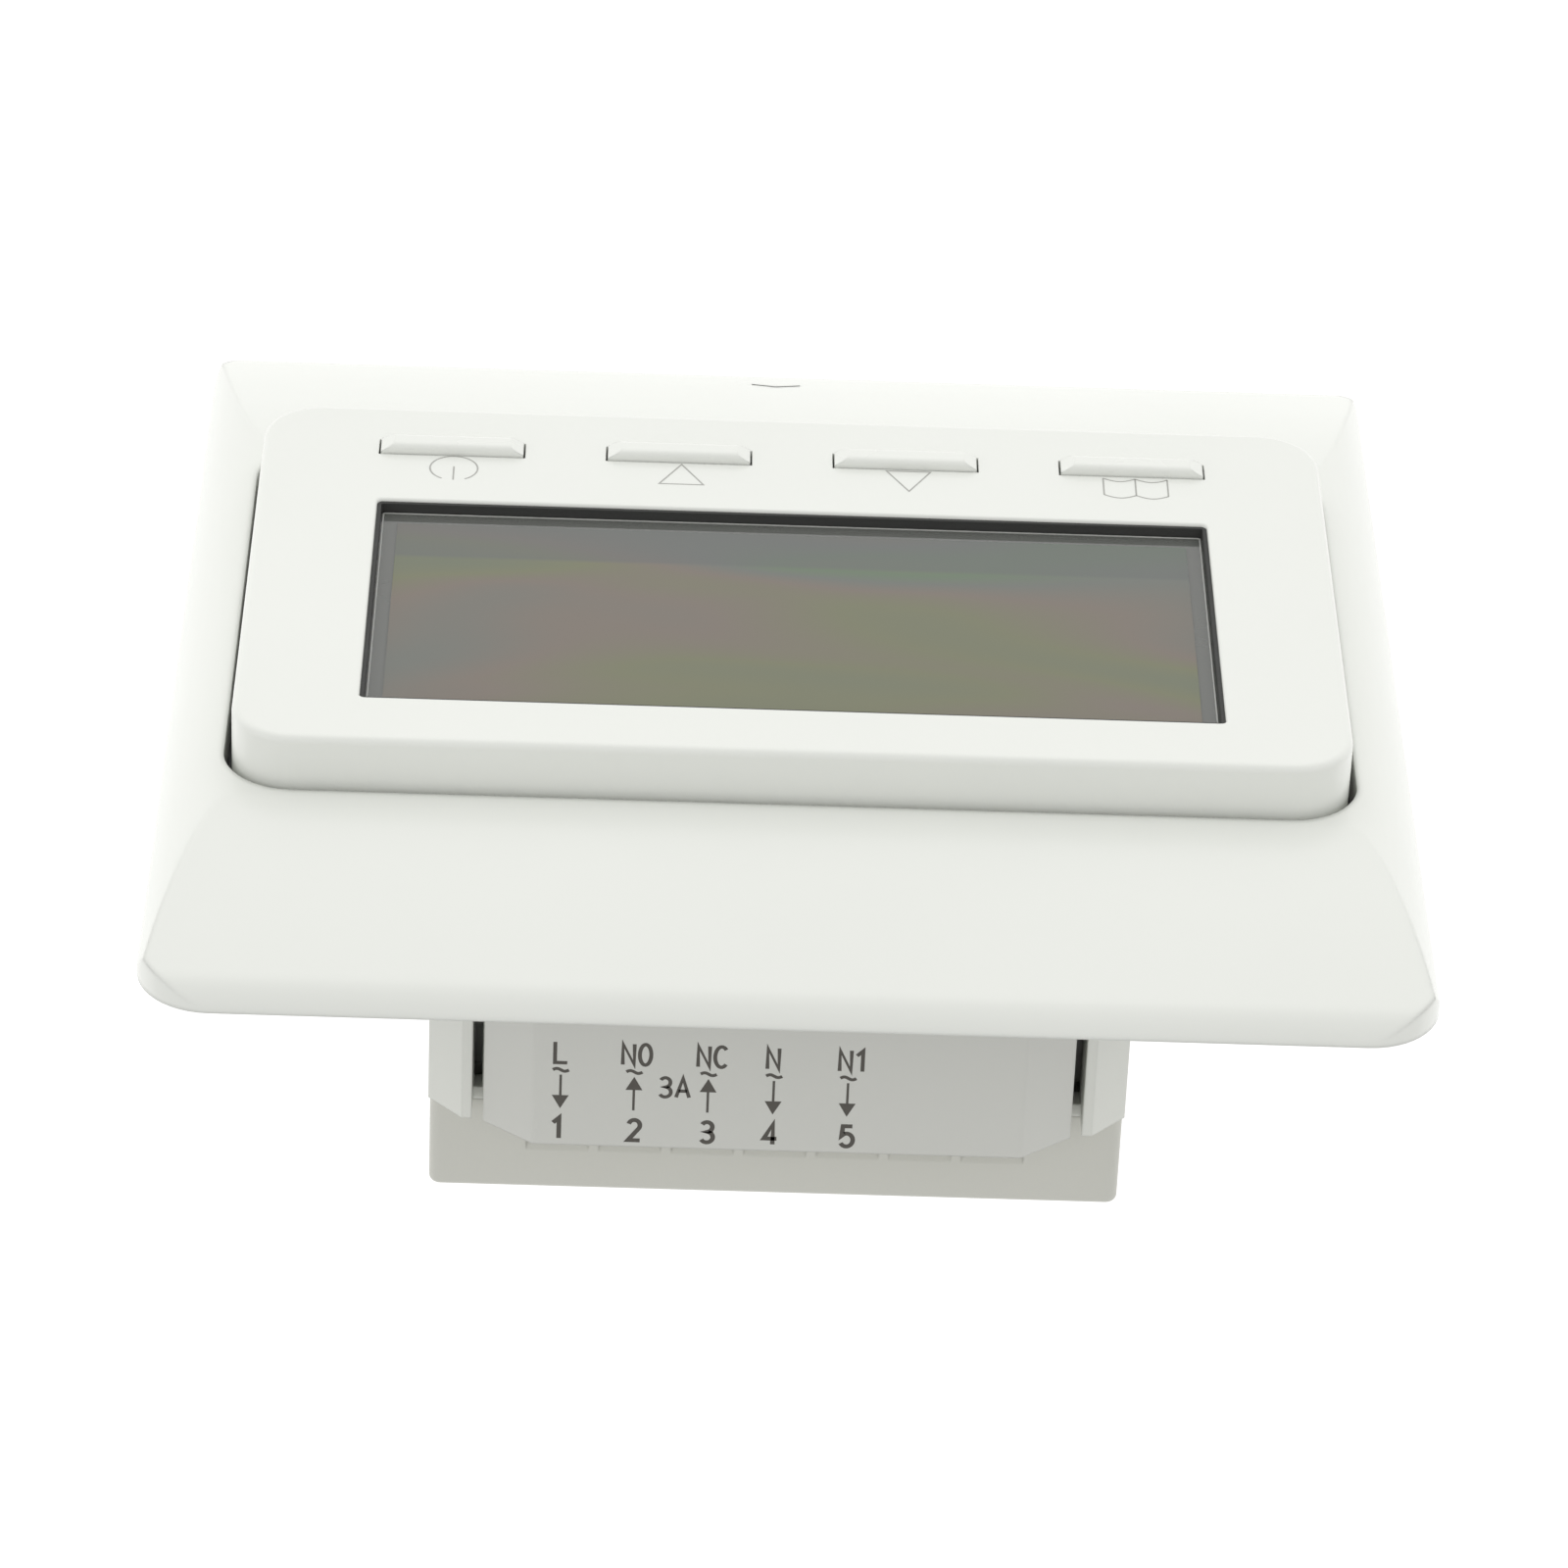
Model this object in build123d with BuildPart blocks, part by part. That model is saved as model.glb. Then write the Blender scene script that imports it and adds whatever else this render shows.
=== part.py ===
from build123d import *
import os

# Flush wall timer: a plug-in display module in a square surround, over a relay and terminal housing.
# Millimetres. +Z up, +X to the right seen from the room, the front faces -Y, y = 0 is the wall surface.

os.makedirs("parts", exist_ok=True)

# --- driving dimensions -------------------------------------------------------------------------
PLATE = 86.0             # square wall plate
PLATE_CORNER = 5.0
FIXING_SPACING = 60.3    # wall box screws, centre to centre
FIXING_SLOT = 7.0
FIXING_SLOT_W = 4.2
SLOPE_FOOT = 1.6         # where the slopes would meet the plate's edge, off the wall
EDGE_ROLL = 2.4          # radius that rolls the slopes over at that edge
SIDE_ROLL = 5.3          # radius of the surround's sides
CREST = 5.1              # highest band of the surround, off the wall
CREST_Z = 24.1           # half height of that band
SURROUND_WALL = 1.5

MODULE_W = 75.9          # display module
MODULE_H = 45.7
MODULE_CORNER = 4.2
MODULE_GAP = 0.55        # to the surround all round
COVER_FACE = 8.9         # cover face, off the wall
COVER_WALL = 1.4
COVER_BACK = 1.4         # rear edge of the cover and of its back plate, off the wall

WINDOW_W = 58.8
WINDOW_H = 26.8
WINDOW_Z = 3.85          # middle of the window above the plate's middle
GLASS_W = 60.8
GLASS_H = 29.8
GLASS_REBATE = 0.85      # cover face to the front of the display glass

KEY_PITCH = 16.25
KEY_Z = -17.0
KEY_W = 10.2
KEY_H = 1.9
KEY_PROUD = 0.7
KEY_GAP = 0.1
KEY_END_GAP = 0.14

HOUSING_X = 24.3         # half width of the housing in the wall box
HOUSING_TOP = 19.7
HOUSING_BOTTOM = -21.0
HOUSING_WALL = 1.6
BASE_DEPTH = 22.2        # base housing, behind the wall surface
HOUSING_DEPTH = 29.7     # with its rear cover
TERMINALS = 7
TERMINAL_PITCH = 5.08
BLOCK_X = 17.9           # half width of the terminal block

STRAP = 1.2              # mounting plate thickness
BOARD = 1.2              # control board thickness

key_names = ["menu_key", "up_key", "down_key", "power_key"]
key_x = [(i - 1.5) * KEY_PITCH for i in range(4)]
terminal_x = [(i - (TERMINALS - 1) / 2) * TERMINAL_PITCH for i in range(TERMINALS)]
boss_points = [(-20.6, 13.0), (20.6, 13.0), (-20.6, -17.2), (20.6, -17.2)]
module_boss_points = [(-34.0, 18.7), (34.0, 18.7), (-34.0, -18.7), (34.0, -18.7)]


def at(y):
    """Plane parallel to the wall at depth y, whose extrusions run towards the room."""
    return Plane.XZ.offset(-y)


# --- surround -----------------------------------------------------------------------------------
# Long soft slopes above and below the module, short steep ones at its sides.
half = PLATE / 2
OPENING_W = MODULE_W + 2 * MODULE_GAP
OPENING_H = MODULE_H + 2 * MODULE_GAP
OPENING_CORNER = MODULE_CORNER + MODULE_GAP
SKIRT = 1.2
SLOPE_RADIUS = 90.0      # the slopes swell slightly
cavity_top = CREST - SURROUND_WALL

PAST = 0.05              # the profiles run past the plate, which then trims them
reach = half + PAST

with BuildPart() as surround_frame:
    with BuildSketch(at(0)):
        RectangleRounded(PLATE, PLATE, PLATE_CORNER)
    extrude(amount=CREST + 1)
    with BuildSketch(Plane.YZ.offset(-half - 1)) as upright_profile:
        with BuildLine():
            Polyline((-SLOPE_FOOT, -reach), (1, -reach), (1, reach), (-SLOPE_FOOT, reach))
            RadiusArc((-SLOPE_FOOT, reach), (-CREST, CREST_Z), -SLOPE_RADIUS)
            Line((-CREST, CREST_Z), (-CREST, -CREST_Z))
            RadiusArc((-CREST, -CREST_Z), (-SLOPE_FOOT, -reach), -SLOPE_RADIUS)
        make_face()
        fillet(upright_profile.vertices().group_by(Axis.X)[1], radius=EDGE_ROLL)
        fillet(upright_profile.vertices().group_by(Axis.X)[0], radius=3.0)
    extrude(amount=PLATE + 2, mode=Mode.INTERSECT)
    with BuildSketch(Plane.XY.offset(-half - 1)) as level_profile:
        with BuildLine():
            Polyline((-reach, 1), (reach, 1), (reach, -CREST), (-reach, -CREST), (-reach, 1))
        make_face()
        fillet(level_profile.vertices().group_by(Axis.Y)[0], radius=SIDE_ROLL)
    extrude(amount=PLATE + 2, mode=Mode.INTERSECT)

with BuildPart() as surround_cavity:
    with BuildSketch(at(1)):
        RectangleRounded(82.6, 79.4, 3.4)
    extrude(amount=CREST)
    with BuildSketch(Plane.YZ.offset(-half)):
        with BuildLine():
            Polyline((-0.4, -40.3), (2, -40.3), (2, 40.3), (-0.4, 40.3))
            RadiusArc((-0.4, 40.3), (-cavity_top, CREST_Z - 0.4), -SLOPE_RADIUS)
            Line((-cavity_top, CREST_Z - 0.4), (-cavity_top, 0.4 - CREST_Z))
            RadiusArc((-cavity_top, 0.4 - CREST_Z), (-0.4, -40.3), -SLOPE_RADIUS)
        make_face()
    extrude(amount=PLATE, mode=Mode.INTERSECT)
    with BuildSketch(Plane.XY.offset(-half)) as level_inside:
        with BuildLine():
            Polyline((-41.5, 2), (41.5, 2), (41.5, -cavity_top), (-41.5, -cavity_top), (-41.5, 2))
        make_face()
        fillet(level_inside.vertices().group_by(Axis.Y)[0], radius=SIDE_ROLL - SURROUND_WALL)
    extrude(amount=PLATE, mode=Mode.INTERSECT)
    with BuildSketch(at(-STRAP - 0.1)):
        RectangleRounded(OPENING_W + 2 * SKIRT, OPENING_H + 2 * SKIRT, OPENING_CORNER + SKIRT)
    extrude(amount=CREST, mode=Mode.SUBTRACT)

hook_points = [(-24.0, 33.0), (24.0, 33.0), (-24.0, -33.0), (24.0, -33.0)]
with BuildPart(mode=Mode.PRIVATE) as opening_tool:
    with BuildSketch(at(1)):
        RectangleRounded(OPENING_W, OPENING_H, OPENING_CORNER)
    extrude(amount=CREST + 3)

with BuildPart(mode=Mode.PRIVATE) as chevron_tool:
    # pry mark over the lower edge, where the surround is levered off
    with BuildSketch(at(-2.55)):
        with BuildLine():
            Polyline((-0.85, -39.3), (0.95, -38.8), (2.75, -39.3), (2.75, -39.05),
                     (0.95, -38.55), (-0.85, -39.05), (-0.85, -39.3))
        make_face()
    extrude(amount=2)
    with BuildSketch(at(1)):
        with Locations((0, -half)):
            Rectangle(6, 1.2)
    extrude(amount=1.7)

with BuildPart() as surround_frame_done:
    add(surround_frame.part)
    add(surround_cavity.part, mode=Mode.SUBTRACT)
    add(opening_tool.part, mode=Mode.SUBTRACT)
    add(chevron_tool.part, mode=Mode.SUBTRACT)
    # four snap legs that pass through the mounting plate
    with BuildSketch(at(-0.1)):
        with Locations(*hook_points):
            Rectangle(4.4, 1.3)
    extrude(amount=2.4)
surround_frame_done.part.label = "surround_frame"
export_step(surround_frame_done.part, "parts/surround_frame.step")

# --- mounting plate -----------------------------------------------------------------------------
WELL_X = 16.2            # half size of the module's rear well
WELL_Z = 14.2

with BuildPart() as mounting_plate:
    with BuildSketch(at(0)):
        RectangleRounded(80, 71, 3)
        RectangleRounded(2 * WELL_X + 2, 2 * WELL_Z + 2, 2, mode=Mode.SUBTRACT)
        with Locations((-FIXING_SPACING / 2, 0), (FIXING_SPACING / 2, 0)):
            SlotOverall(FIXING_SLOT, FIXING_SLOT_W, mode=Mode.SUBTRACT)
        with Locations((0, -FIXING_SPACING / 2), (0, FIXING_SPACING / 2)):
            SlotOverall(FIXING_SLOT, FIXING_SLOT_W, rotation=90, mode=Mode.SUBTRACT)
        with Locations(*hook_points):
            Rectangle(4.8, 1.7, mode=Mode.SUBTRACT)
    extrude(amount=STRAP)
    with Locations(at(-STRAP)):
        with Locations(*boss_points):
            CounterSinkHole(radius=1.4, counter_sink_radius=2.4, depth=STRAP, counter_sink_angle=90)
mounting_plate.part.label = "mounting_plate"
export_step(mounting_plate.part, "parts/mounting_plate.step")

# --- base housing -------------------------------------------------------------------------------
# Two bevelled rails along the top walls stand beside the terminal cover.
RAIL_TOP = 22.1
RAIL_IN = 21.2
RAIL_OUT = 21.9
BLOCK_Y0 = 10.6          # terminal block, front and rear
BLOCK_Y1 = 20.4
inner_x = HOUSING_X - HOUSING_WALL
inner_top = HOUSING_TOP - HOUSING_WALL
inner_bottom = HOUSING_BOTTOM + HOUSING_WALL
BOSS_R = 2.3
SCREW_CORE = 1.05
LEDGE_Y = 9.0            # front face of the power board

with BuildPart() as base_housing:
    with BuildSketch(at(BASE_DEPTH)):
        with BuildLine():
            Polyline((-HOUSING_X, HOUSING_BOTTOM), (HOUSING_X, HOUSING_BOTTOM), (HOUSING_X, HOUSING_TOP),
                     (RAIL_OUT, RAIL_TOP), (RAIL_IN, RAIL_TOP), (RAIL_IN, HOUSING_TOP),
                     (-RAIL_IN, HOUSING_TOP), (-RAIL_IN, RAIL_TOP), (-RAIL_OUT, RAIL_TOP),
                     (-HOUSING_X, HOUSING_TOP), (-HOUSING_X, HOUSING_BOTTOM))
        make_face()
    extrude(amount=BASE_DEPTH)
    lower_corners = base_housing.edges().filter_by(Axis.Y).group_by(Axis.Z)[0]
    fillet(lower_corners, radius=1.0)
    with BuildSketch(at(BASE_DEPTH)):
        with BuildLine():
            Polyline((-inner_x, inner_bottom), (inner_x, inner_bottom), (inner_x, inner_top),
                     (-inner_x, inner_top), (-inner_x, inner_bottom))
        make_face()
    extrude(amount=BASE_DEPTH, mode=Mode.SUBTRACT)
    # screw bosses, tapped from both ends
    with BuildSketch(at(BASE_DEPTH)):
        with Locations(*boss_points):
            Circle(BOSS_R)
    extrude(amount=BASE_DEPTH)
    with BuildSketch(at(BASE_DEPTH)):
        with Locations(*boss_points):
            Circle(SCREW_CORE)
    extrude(amount=9, mode=Mode.SUBTRACT)
    with BuildSketch(at(9)):
        with Locations(*boss_points):
            Circle(SCREW_CORE)
    extrude(amount=9, mode=Mode.SUBTRACT)
    # ledges that the power board rests on
    with BuildSketch(at(LEDGE_Y)):
        with Locations((-inner_x, 0), (inner_x, 0)):
            Rectangle(2.4, 22)
    extrude(amount=1.5)
    # the terminal block stands through the top wall
    with BuildSketch(Plane.XY.offset(inner_top - 0.5)):
        with Locations((0, (BLOCK_Y0 + BLOCK_Y1) / 2)):
            Rectangle(2 * BLOCK_X + 0.3, BLOCK_Y1 - BLOCK_Y0 + 0.4)
        # slots for the terminal cover's snap tabs
        with Locations((-19.3, 5), (19.3, 5)):
            Rectangle(1.3, 4.6)
        # open gaps between the cover's sides and the rails
        with Locations((-20.85, 11.2), (20.85, 11.2)):
            Rectangle(0.6, 20.0)
    extrude(amount=3, mode=Mode.SUBTRACT)
    # air slots in the lower wall
    with BuildSketch(Plane.XY.offset(HOUSING_BOTTOM - 1)):
        with GridLocations(5, 1, 6, 1):
            with Locations((0, 13)):
                SlotOverall(9, 1.6, rotation=90)
    extrude(amount=3.2, mode=Mode.SUBTRACT)
base_housing.part.label = "base_housing"
export_step(base_housing.part, "parts/base_housing.step")

# --- rear cover of the housing ------------------------------------------------------------------
WIRE_W = 4.2
WIRE_H = 4.6
WIRE_Z = 15.4
REAR_X = 24.2
FLOOR_Y = HOUSING_DEPTH - HOUSING_WALL
RAMP_W = 4.35            # ramps in the top, behind the terminal cover
RAMP_Y = 26.4            # rear end of a ramp
RAMP_DEEP = 1.2

with BuildPart() as rear_cover:
    with BuildSketch(at(HOUSING_DEPTH)):
        with Locations((0, (HOUSING_TOP + HOUSING_BOTTOM) / 2)):
            RectangleRounded(2 * REAR_X, HOUSING_TOP - HOUSING_BOTTOM, 0.8)
    extrude(amount=HOUSING_DEPTH - BASE_DEPTH)
    rear_edges = rear_cover.edges().group_by(Axis.Y)[-1]
    fillet(rear_edges, radius=0.5)
    with BuildSketch(at(FLOOR_Y)):
        with Locations((0, (inner_top + inner_bottom) / 2)):
            Rectangle(2 * REAR_X - 2 * HOUSING_WALL, inner_top - inner_bottom)
    extrude(amount=FLOOR_Y - BASE_DEPTH, mode=Mode.SUBTRACT)
    # wire ducts, from the rear face to the terminal block
    with BuildSketch(at(HOUSING_DEPTH - 0.8)):
        with Locations((0, (inner_top + 12.6) / 2)):
            Rectangle(2 * BLOCK_X, inner_top - 12.6)
    extrude(amount=HOUSING_DEPTH - 0.8 - BLOCK_Y1 - 0.1)
    with BuildSketch(at(HOUSING_DEPTH)):
        with Locations(*[(x, WIRE_Z) for x in terminal_x]):
            Rectangle(WIRE_W, WIRE_H)
    extrude(amount=10, mode=Mode.SUBTRACT)
    # screw sleeves
    with BuildSketch(at(HOUSING_DEPTH - 0.8)):
        with Locations(*boss_points):
            Circle(BOSS_R)
    extrude(amount=HOUSING_DEPTH - 0.8 - BASE_DEPTH)
    with BuildSketch(at(HOUSING_DEPTH)):
        with Locations(*boss_points):
            Circle(1.4)
    extrude(amount=HOUSING_DEPTH - BASE_DEPTH, mode=Mode.SUBTRACT)
    with BuildSketch(at(HOUSING_DEPTH)):
        with Locations(*boss_points):
            Circle(2.2)
    extrude(amount=1.9, mode=Mode.SUBTRACT)
    # shallow ramps behind the terminal cover, one for each terminal
    for x in terminal_x:
        with BuildSketch(Plane.YZ.offset(x - RAMP_W / 2)):
            with BuildLine():
                Polyline((RAMP_Y, HOUSING_TOP), (RAMP_Y + 0.2, HOUSING_TOP + 1),
                         (BASE_DEPTH - 1, HOUSING_TOP + 1), (BASE_DEPTH - 1, HOUSING_TOP - RAMP_DEEP),
                         (23.6, HOUSING_TOP - RAMP_DEEP), (RAMP_Y, HOUSING_TOP))
            make_face()
        extrude(amount=RAMP_W, mode=Mode.SUBTRACT)
rear_cover.part.label = "rear_cover"
export_step(rear_cover.part, "parts/rear_cover.step")

# --- terminal cover -----------------------------------------------------------------------------
COVER_X = 20.4           # half width at its foot
COVER_SHOULDER = 22.4
COVER_TOP = 25.0
COVER_TOP_X = 16.9
TC_WALL = 1.2

with BuildPart() as terminal_cover:
    with BuildSketch(at(BASE_DEPTH)):
        with BuildLine():
            Polyline((-COVER_X, HOUSING_TOP + 0.05), (COVER_X, HOUSING_TOP + 0.05),
                     (COVER_X, COVER_SHOULDER), (COVER_TOP_X, COVER_TOP), (-COVER_TOP_X, COVER_TOP),
                     (-COVER_X, COVER_SHOULDER), (-COVER_X, HOUSING_TOP + 0.05))
        make_face()
    extrude(amount=BASE_DEPTH - 0.3)
    shoulder_edges = terminal_cover.edges().filter_by(Axis.Y).group_by(Axis.Z)[-1]
    fillet(shoulder_edges, radius=0.5)
    with BuildSketch(at(BASE_DEPTH - TC_WALL)):
        with BuildLine():
            Polyline((-COVER_X + TC_WALL, HOUSING_TOP), (COVER_X - TC_WALL, HOUSING_TOP),
                     (COVER_X - TC_WALL, COVER_SHOULDER - 0.6), (COVER_TOP_X - 0.4, COVER_TOP - TC_WALL),
                     (0.4 - COVER_TOP_X, COVER_TOP - TC_WALL),
                     (-COVER_X + TC_WALL, COVER_SHOULDER - 0.6), (-COVER_X + TC_WALL, HOUSING_TOP))
        make_face()
    extrude(amount=BASE_DEPTH - 2 * TC_WALL - 0.3, mode=Mode.SUBTRACT)
    # two snap tabs
    with BuildSketch(Plane.XY.offset(inner_top - 0.2)):
        with Locations((-19.3, 5), (19.3, 5)):
            Rectangle(1.0, 4.0)
    extrude(amount=4)
terminal_cover.part.label = "terminal_cover"
export_step(terminal_cover.part, "parts/terminal_cover.step")

# --- terminal block, clamps and screws ----------------------------------------------------------
BLOCK_Z0 = 11.9
BLOCK_Z1 = 22.0
CAGE_Z0 = 13.2
CAGE_Z1 = 18.4

with BuildPart() as terminal_block:
    with BuildSketch(at(BLOCK_Y1)):
        with Locations((0, (BLOCK_Z0 + BLOCK_Z1) / 2)):
            Rectangle(2 * BLOCK_X, BLOCK_Z1 - BLOCK_Z0)
    extrude(amount=BLOCK_Y1 - BLOCK_Y0)
    chamfer(terminal_block.edges().filter_by(Axis.X).group_by(Axis.Z)[-1], length=0.6)
    with BuildSketch(at(BLOCK_Y1)):
        with Locations(*[(x, WIRE_Z) for x in terminal_x]):
            Rectangle(WIRE_W, WIRE_H)
    extrude(amount=2.0, mode=Mode.SUBTRACT)
    with BuildSketch(at(BLOCK_Y1)):
        with Locations(*[(x, (CAGE_Z0 + CAGE_Z1) / 2) for x in terminal_x]):
            Rectangle(3.8, CAGE_Z1 - CAGE_Z0 + 0.2)
    extrude(amount=8.4, mode=Mode.SUBTRACT)
    with BuildSketch(Plane.XY.offset(CAGE_Z1)):
        with Locations(*[(x, 15.2) for x in terminal_x]):
            Circle(2.0)
    extrude(amount=5, mode=Mode.SUBTRACT)
    # pin holes towards the board
    with BuildSketch(at(BLOCK_Y1)):
        with Locations(*[(x, 14.2) for x in terminal_x]):
            Circle(0.6)
    extrude(amount=BLOCK_Y1 - BLOCK_Y0, mode=Mode.SUBTRACT)
terminal_block.part.label = "terminal_block"
export_step(terminal_block.part, "parts/terminal_block.step")

with BuildPart() as terminal_clamps:
    with BuildSketch(at(18.2)):
        with Locations(*[(x, (CAGE_Z0 + CAGE_Z1) / 2) for x in terminal_x]):
            Rectangle(3.5, CAGE_Z1 - CAGE_Z0)
            Rectangle(2.7, CAGE_Z1 - CAGE_Z0 - 2.0, mode=Mode.SUBTRACT)
    extrude(amount=6.0)
    with BuildSketch(Plane.XY.offset(CAGE_Z1 - 1.2)):
        with Locations(*[(x, 15.2) for x in terminal_x]):
            Circle(1.3)
    extrude(amount=1.5, mode=Mode.SUBTRACT)
terminal_clamps.part.label = "terminal_clamps"
export_step(terminal_clamps.part, "parts/terminal_clamps.step")

with BuildPart() as terminal_screws:
    with BuildSketch(Plane.XY.offset(20.0)):
        with Locations(*[(x, 15.2) for x in terminal_x]):
            Circle(1.8)
    extrude(amount=1.5)
    with BuildSketch(Plane.XY.offset(16.6)):
        with Locations(*[(x, 15.2) for x in terminal_x]):
            Circle(1.25)
    extrude(amount=3.4)
    with BuildSketch(Plane.XY.offset(21.5)):
        with Locations(*[(x, 15.2) for x in terminal_x]):
            Rectangle(5, 0.6)
    extrude(amount=-0.7, mode=Mode.SUBTRACT)
terminal_screws.part.label = "terminal_screws"
export_step(terminal_screws.part, "parts/terminal_screws.step")

with BuildPart() as terminal_pins:
    with BuildSketch(at(12.2)):
        with Locations(*[(x, 14.2) for x in terminal_x]):
            Circle(0.5)
    extrude(amount=12.2 - 7.8)
terminal_pins.part.label = "terminal_pins"
export_step(terminal_pins.part, "parts/terminal_pins.step")

# --- power board and what stands on it ----------------------------------------------------------
POWER_BOARD = 1.6
MOUNT_Y = LEDGE_Y + POWER_BOARD      # component side of the power board
HEADER_Z = -10.0
header_holes = [(c * 2.54 - 5.08, HEADER_Z + r * 2.54 - 1.27) for c in range(5) for r in range(2)]

with BuildPart() as power_board:
    with BuildSketch(at(MOUNT_Y)):
        with Locations((0, (inner_top + inner_bottom) / 2)):
            Rectangle(2 * inner_x - 0.3, inner_top - inner_bottom - 0.3)
        with Locations(*boss_points):
            Circle(BOSS_R + 0.3, mode=Mode.SUBTRACT)
        with Locations((-22.2, 15.6), (22.2, 15.6), (-22.2, -19.8), (22.2, -19.8)):
            Rectangle(5, 7.8, mode=Mode.SUBTRACT)
        with Locations(*[(x, 14.2) for x in terminal_x]):
            Circle(0.6, mode=Mode.SUBTRACT)
    extrude(amount=POWER_BOARD)
power_board.part.label = "power_board"
export_step(power_board.part, "parts/power_board.step")

with BuildPart() as relay:
    with BuildSketch(at(MOUNT_Y + 15.3)):
        with Locations((-8.4, -11.0)):
            Rectangle(19.0, 15.4)
    extrude(amount=15.3)
    fillet(relay.edges().group_by(Axis.Y)[-1], radius=0.6)
relay.part.label = "relay"
export_step(relay.part, "parts/relay.step")

with BuildPart() as dropper_capacitor:
    with BuildSketch(at(MOUNT_Y + 11.5)):
        with Locations((9.7, -15.9)):
            Rectangle(16.0, 6.0)
    extrude(amount=11.5)
    fillet(dropper_capacitor.edges().group_by(Axis.Y)[-1], radius=0.5)
dropper_capacitor.part.label = "dropper_capacitor"
export_step(dropper_capacitor.part, "parts/dropper_capacitor.step")

with BuildPart() as smoothing_capacitor:
    with BuildSketch(at(MOUNT_Y + 12.5)):
        with Locations((16.2, -6.6)):
            Circle(5.0)
    extrude(amount=12.5)
    fillet(smoothing_capacitor.edges().group_by(Axis.Y)[-1], radius=0.6)
    with BuildSketch(at(MOUNT_Y + 12.5)):
        with Locations((16.2, -6.6)):
            Rectangle(7, 0.4)
            Rectangle(0.4, 7)
    extrude(amount=0.3, mode=Mode.SUBTRACT)
smoothing_capacitor.part.label = "smoothing_capacitor"
export_step(smoothing_capacitor.part, "parts/smoothing_capacitor.step")

with BuildPart() as varistor:
    with BuildSketch(Plane.YZ.offset(3.0)):
        with Locations((MOUNT_Y + 4.4, -6.5)):
            Circle(3.9)
    extrude(amount=3.4)
    fillet(varistor.edges(), radius=0.9)
    with BuildSketch(at(MOUNT_Y + 2.0)):
        with Locations((4.7, -8.2), (4.7, -4.8)):
            Circle(0.4)
    extrude(amount=2.0)
varistor.part.label = "varistor"
export_step(varistor.part, "parts/varistor.step")

with BuildPart() as board_fuse:
    with BuildSketch(at(MOUNT_Y + 7.7)):
        with Locations((-15.5, 4.6)):
            Circle(4.2)
    extrude(amount=7.7)
    fillet(board_fuse.edges().group_by(Axis.Y)[-1], radius=0.5)
board_fuse.part.label = "board_fuse"
export_step(board_fuse.part, "parts/board_fuse.step")

with BuildPart() as rectifier_diodes:
    with BuildSketch(Plane.YZ.offset(2.5)):
        with Locations(*[(MOUNT_Y + 1.35, 0.2 + 3.2 * i) for i in range(3)]):
            Circle(1.35)
    extrude(amount=5.2)
rectifier_diodes.part.label = "rectifier_diodes"
export_step(rectifier_diodes.part, "parts/rectifier_diodes.step")

with BuildPart() as dropper_resistor:
    with BuildSketch(Plane.YZ.offset(-8.4)):
        with Locations((MOUNT_Y + 2.0, 2.8)):
            Circle(2.0)
    extrude(amount=9.0)
    fillet(dropper_resistor.edges(), radius=0.6)
dropper_resistor.part.label = "dropper_resistor"
export_step(dropper_resistor.part, "parts/dropper_resistor.step")

with BuildPart() as header_socket:
    with BuildSketch(at(LEDGE_Y)):
        with Locations((0, HEADER_Z)):
            Rectangle(12.9, 5.1)
        with Locations(*header_holes):
            Rectangle(0.9, 0.9, mode=Mode.SUBTRACT)
    extrude(amount=5.2)
header_socket.part.label = "header_socket"
export_step(header_socket.part, "parts/header_socket.step")

# --- housing screws -----------------------------------------------------------------------------
with BuildPart() as housing_screws:
    # countersunk, through the mounting plate into the base housing
    for x, z in boss_points:
        with BuildSketch(at(-STRAP)):
            with Locations((x, z)):
                Circle(2.35)
        extrude(amount=-STRAP, taper=45)
        with BuildSketch(at(6.0)):
            with Locations((x, z)):
                Circle(SCREW_CORE)
        extrude(amount=6.0 + STRAP / 2)
        with BuildSketch(at(-STRAP)):
            with Locations((x, z)):
                Rectangle(2.4, 0.55)
                Rectangle(0.55, 2.4)
        extrude(amount=-0.6, mode=Mode.SUBTRACT)
housing_screws.part.label = "housing_screws"
export_step(housing_screws.part, "parts/housing_screws.step")

with BuildPart() as rear_cover_screws:
    with BuildSketch(at(HOUSING_DEPTH - 0.3)):
        with Locations(*boss_points):
            Circle(2.05)
    extrude(amount=1.6)
    with BuildSketch(at(HOUSING_DEPTH - 1.9)):
        with Locations(*boss_points):
            Circle(SCREW_CORE)
    extrude(amount=13.0)
    with BuildSketch(at(HOUSING_DEPTH - 0.3)):
        with Locations(*boss_points):
            Rectangle(2.4, 0.55)
            Rectangle(0.55, 2.4)
    extrude(amount=0.9, mode=Mode.SUBTRACT)
rear_cover_screws.part.label = "rear_cover_screws"
export_step(rear_cover_screws.part, "parts/rear_cover_screws.step")

# --- display module: front cover ----------------------------------------------------------------
cover_inner = COVER_FACE - COVER_WALL
glass_front = COVER_FACE - GLASS_REBATE
module_inner_w = MODULE_W - 2 * COVER_WALL
module_inner_h = MODULE_H - 2 * COVER_WALL

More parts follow.
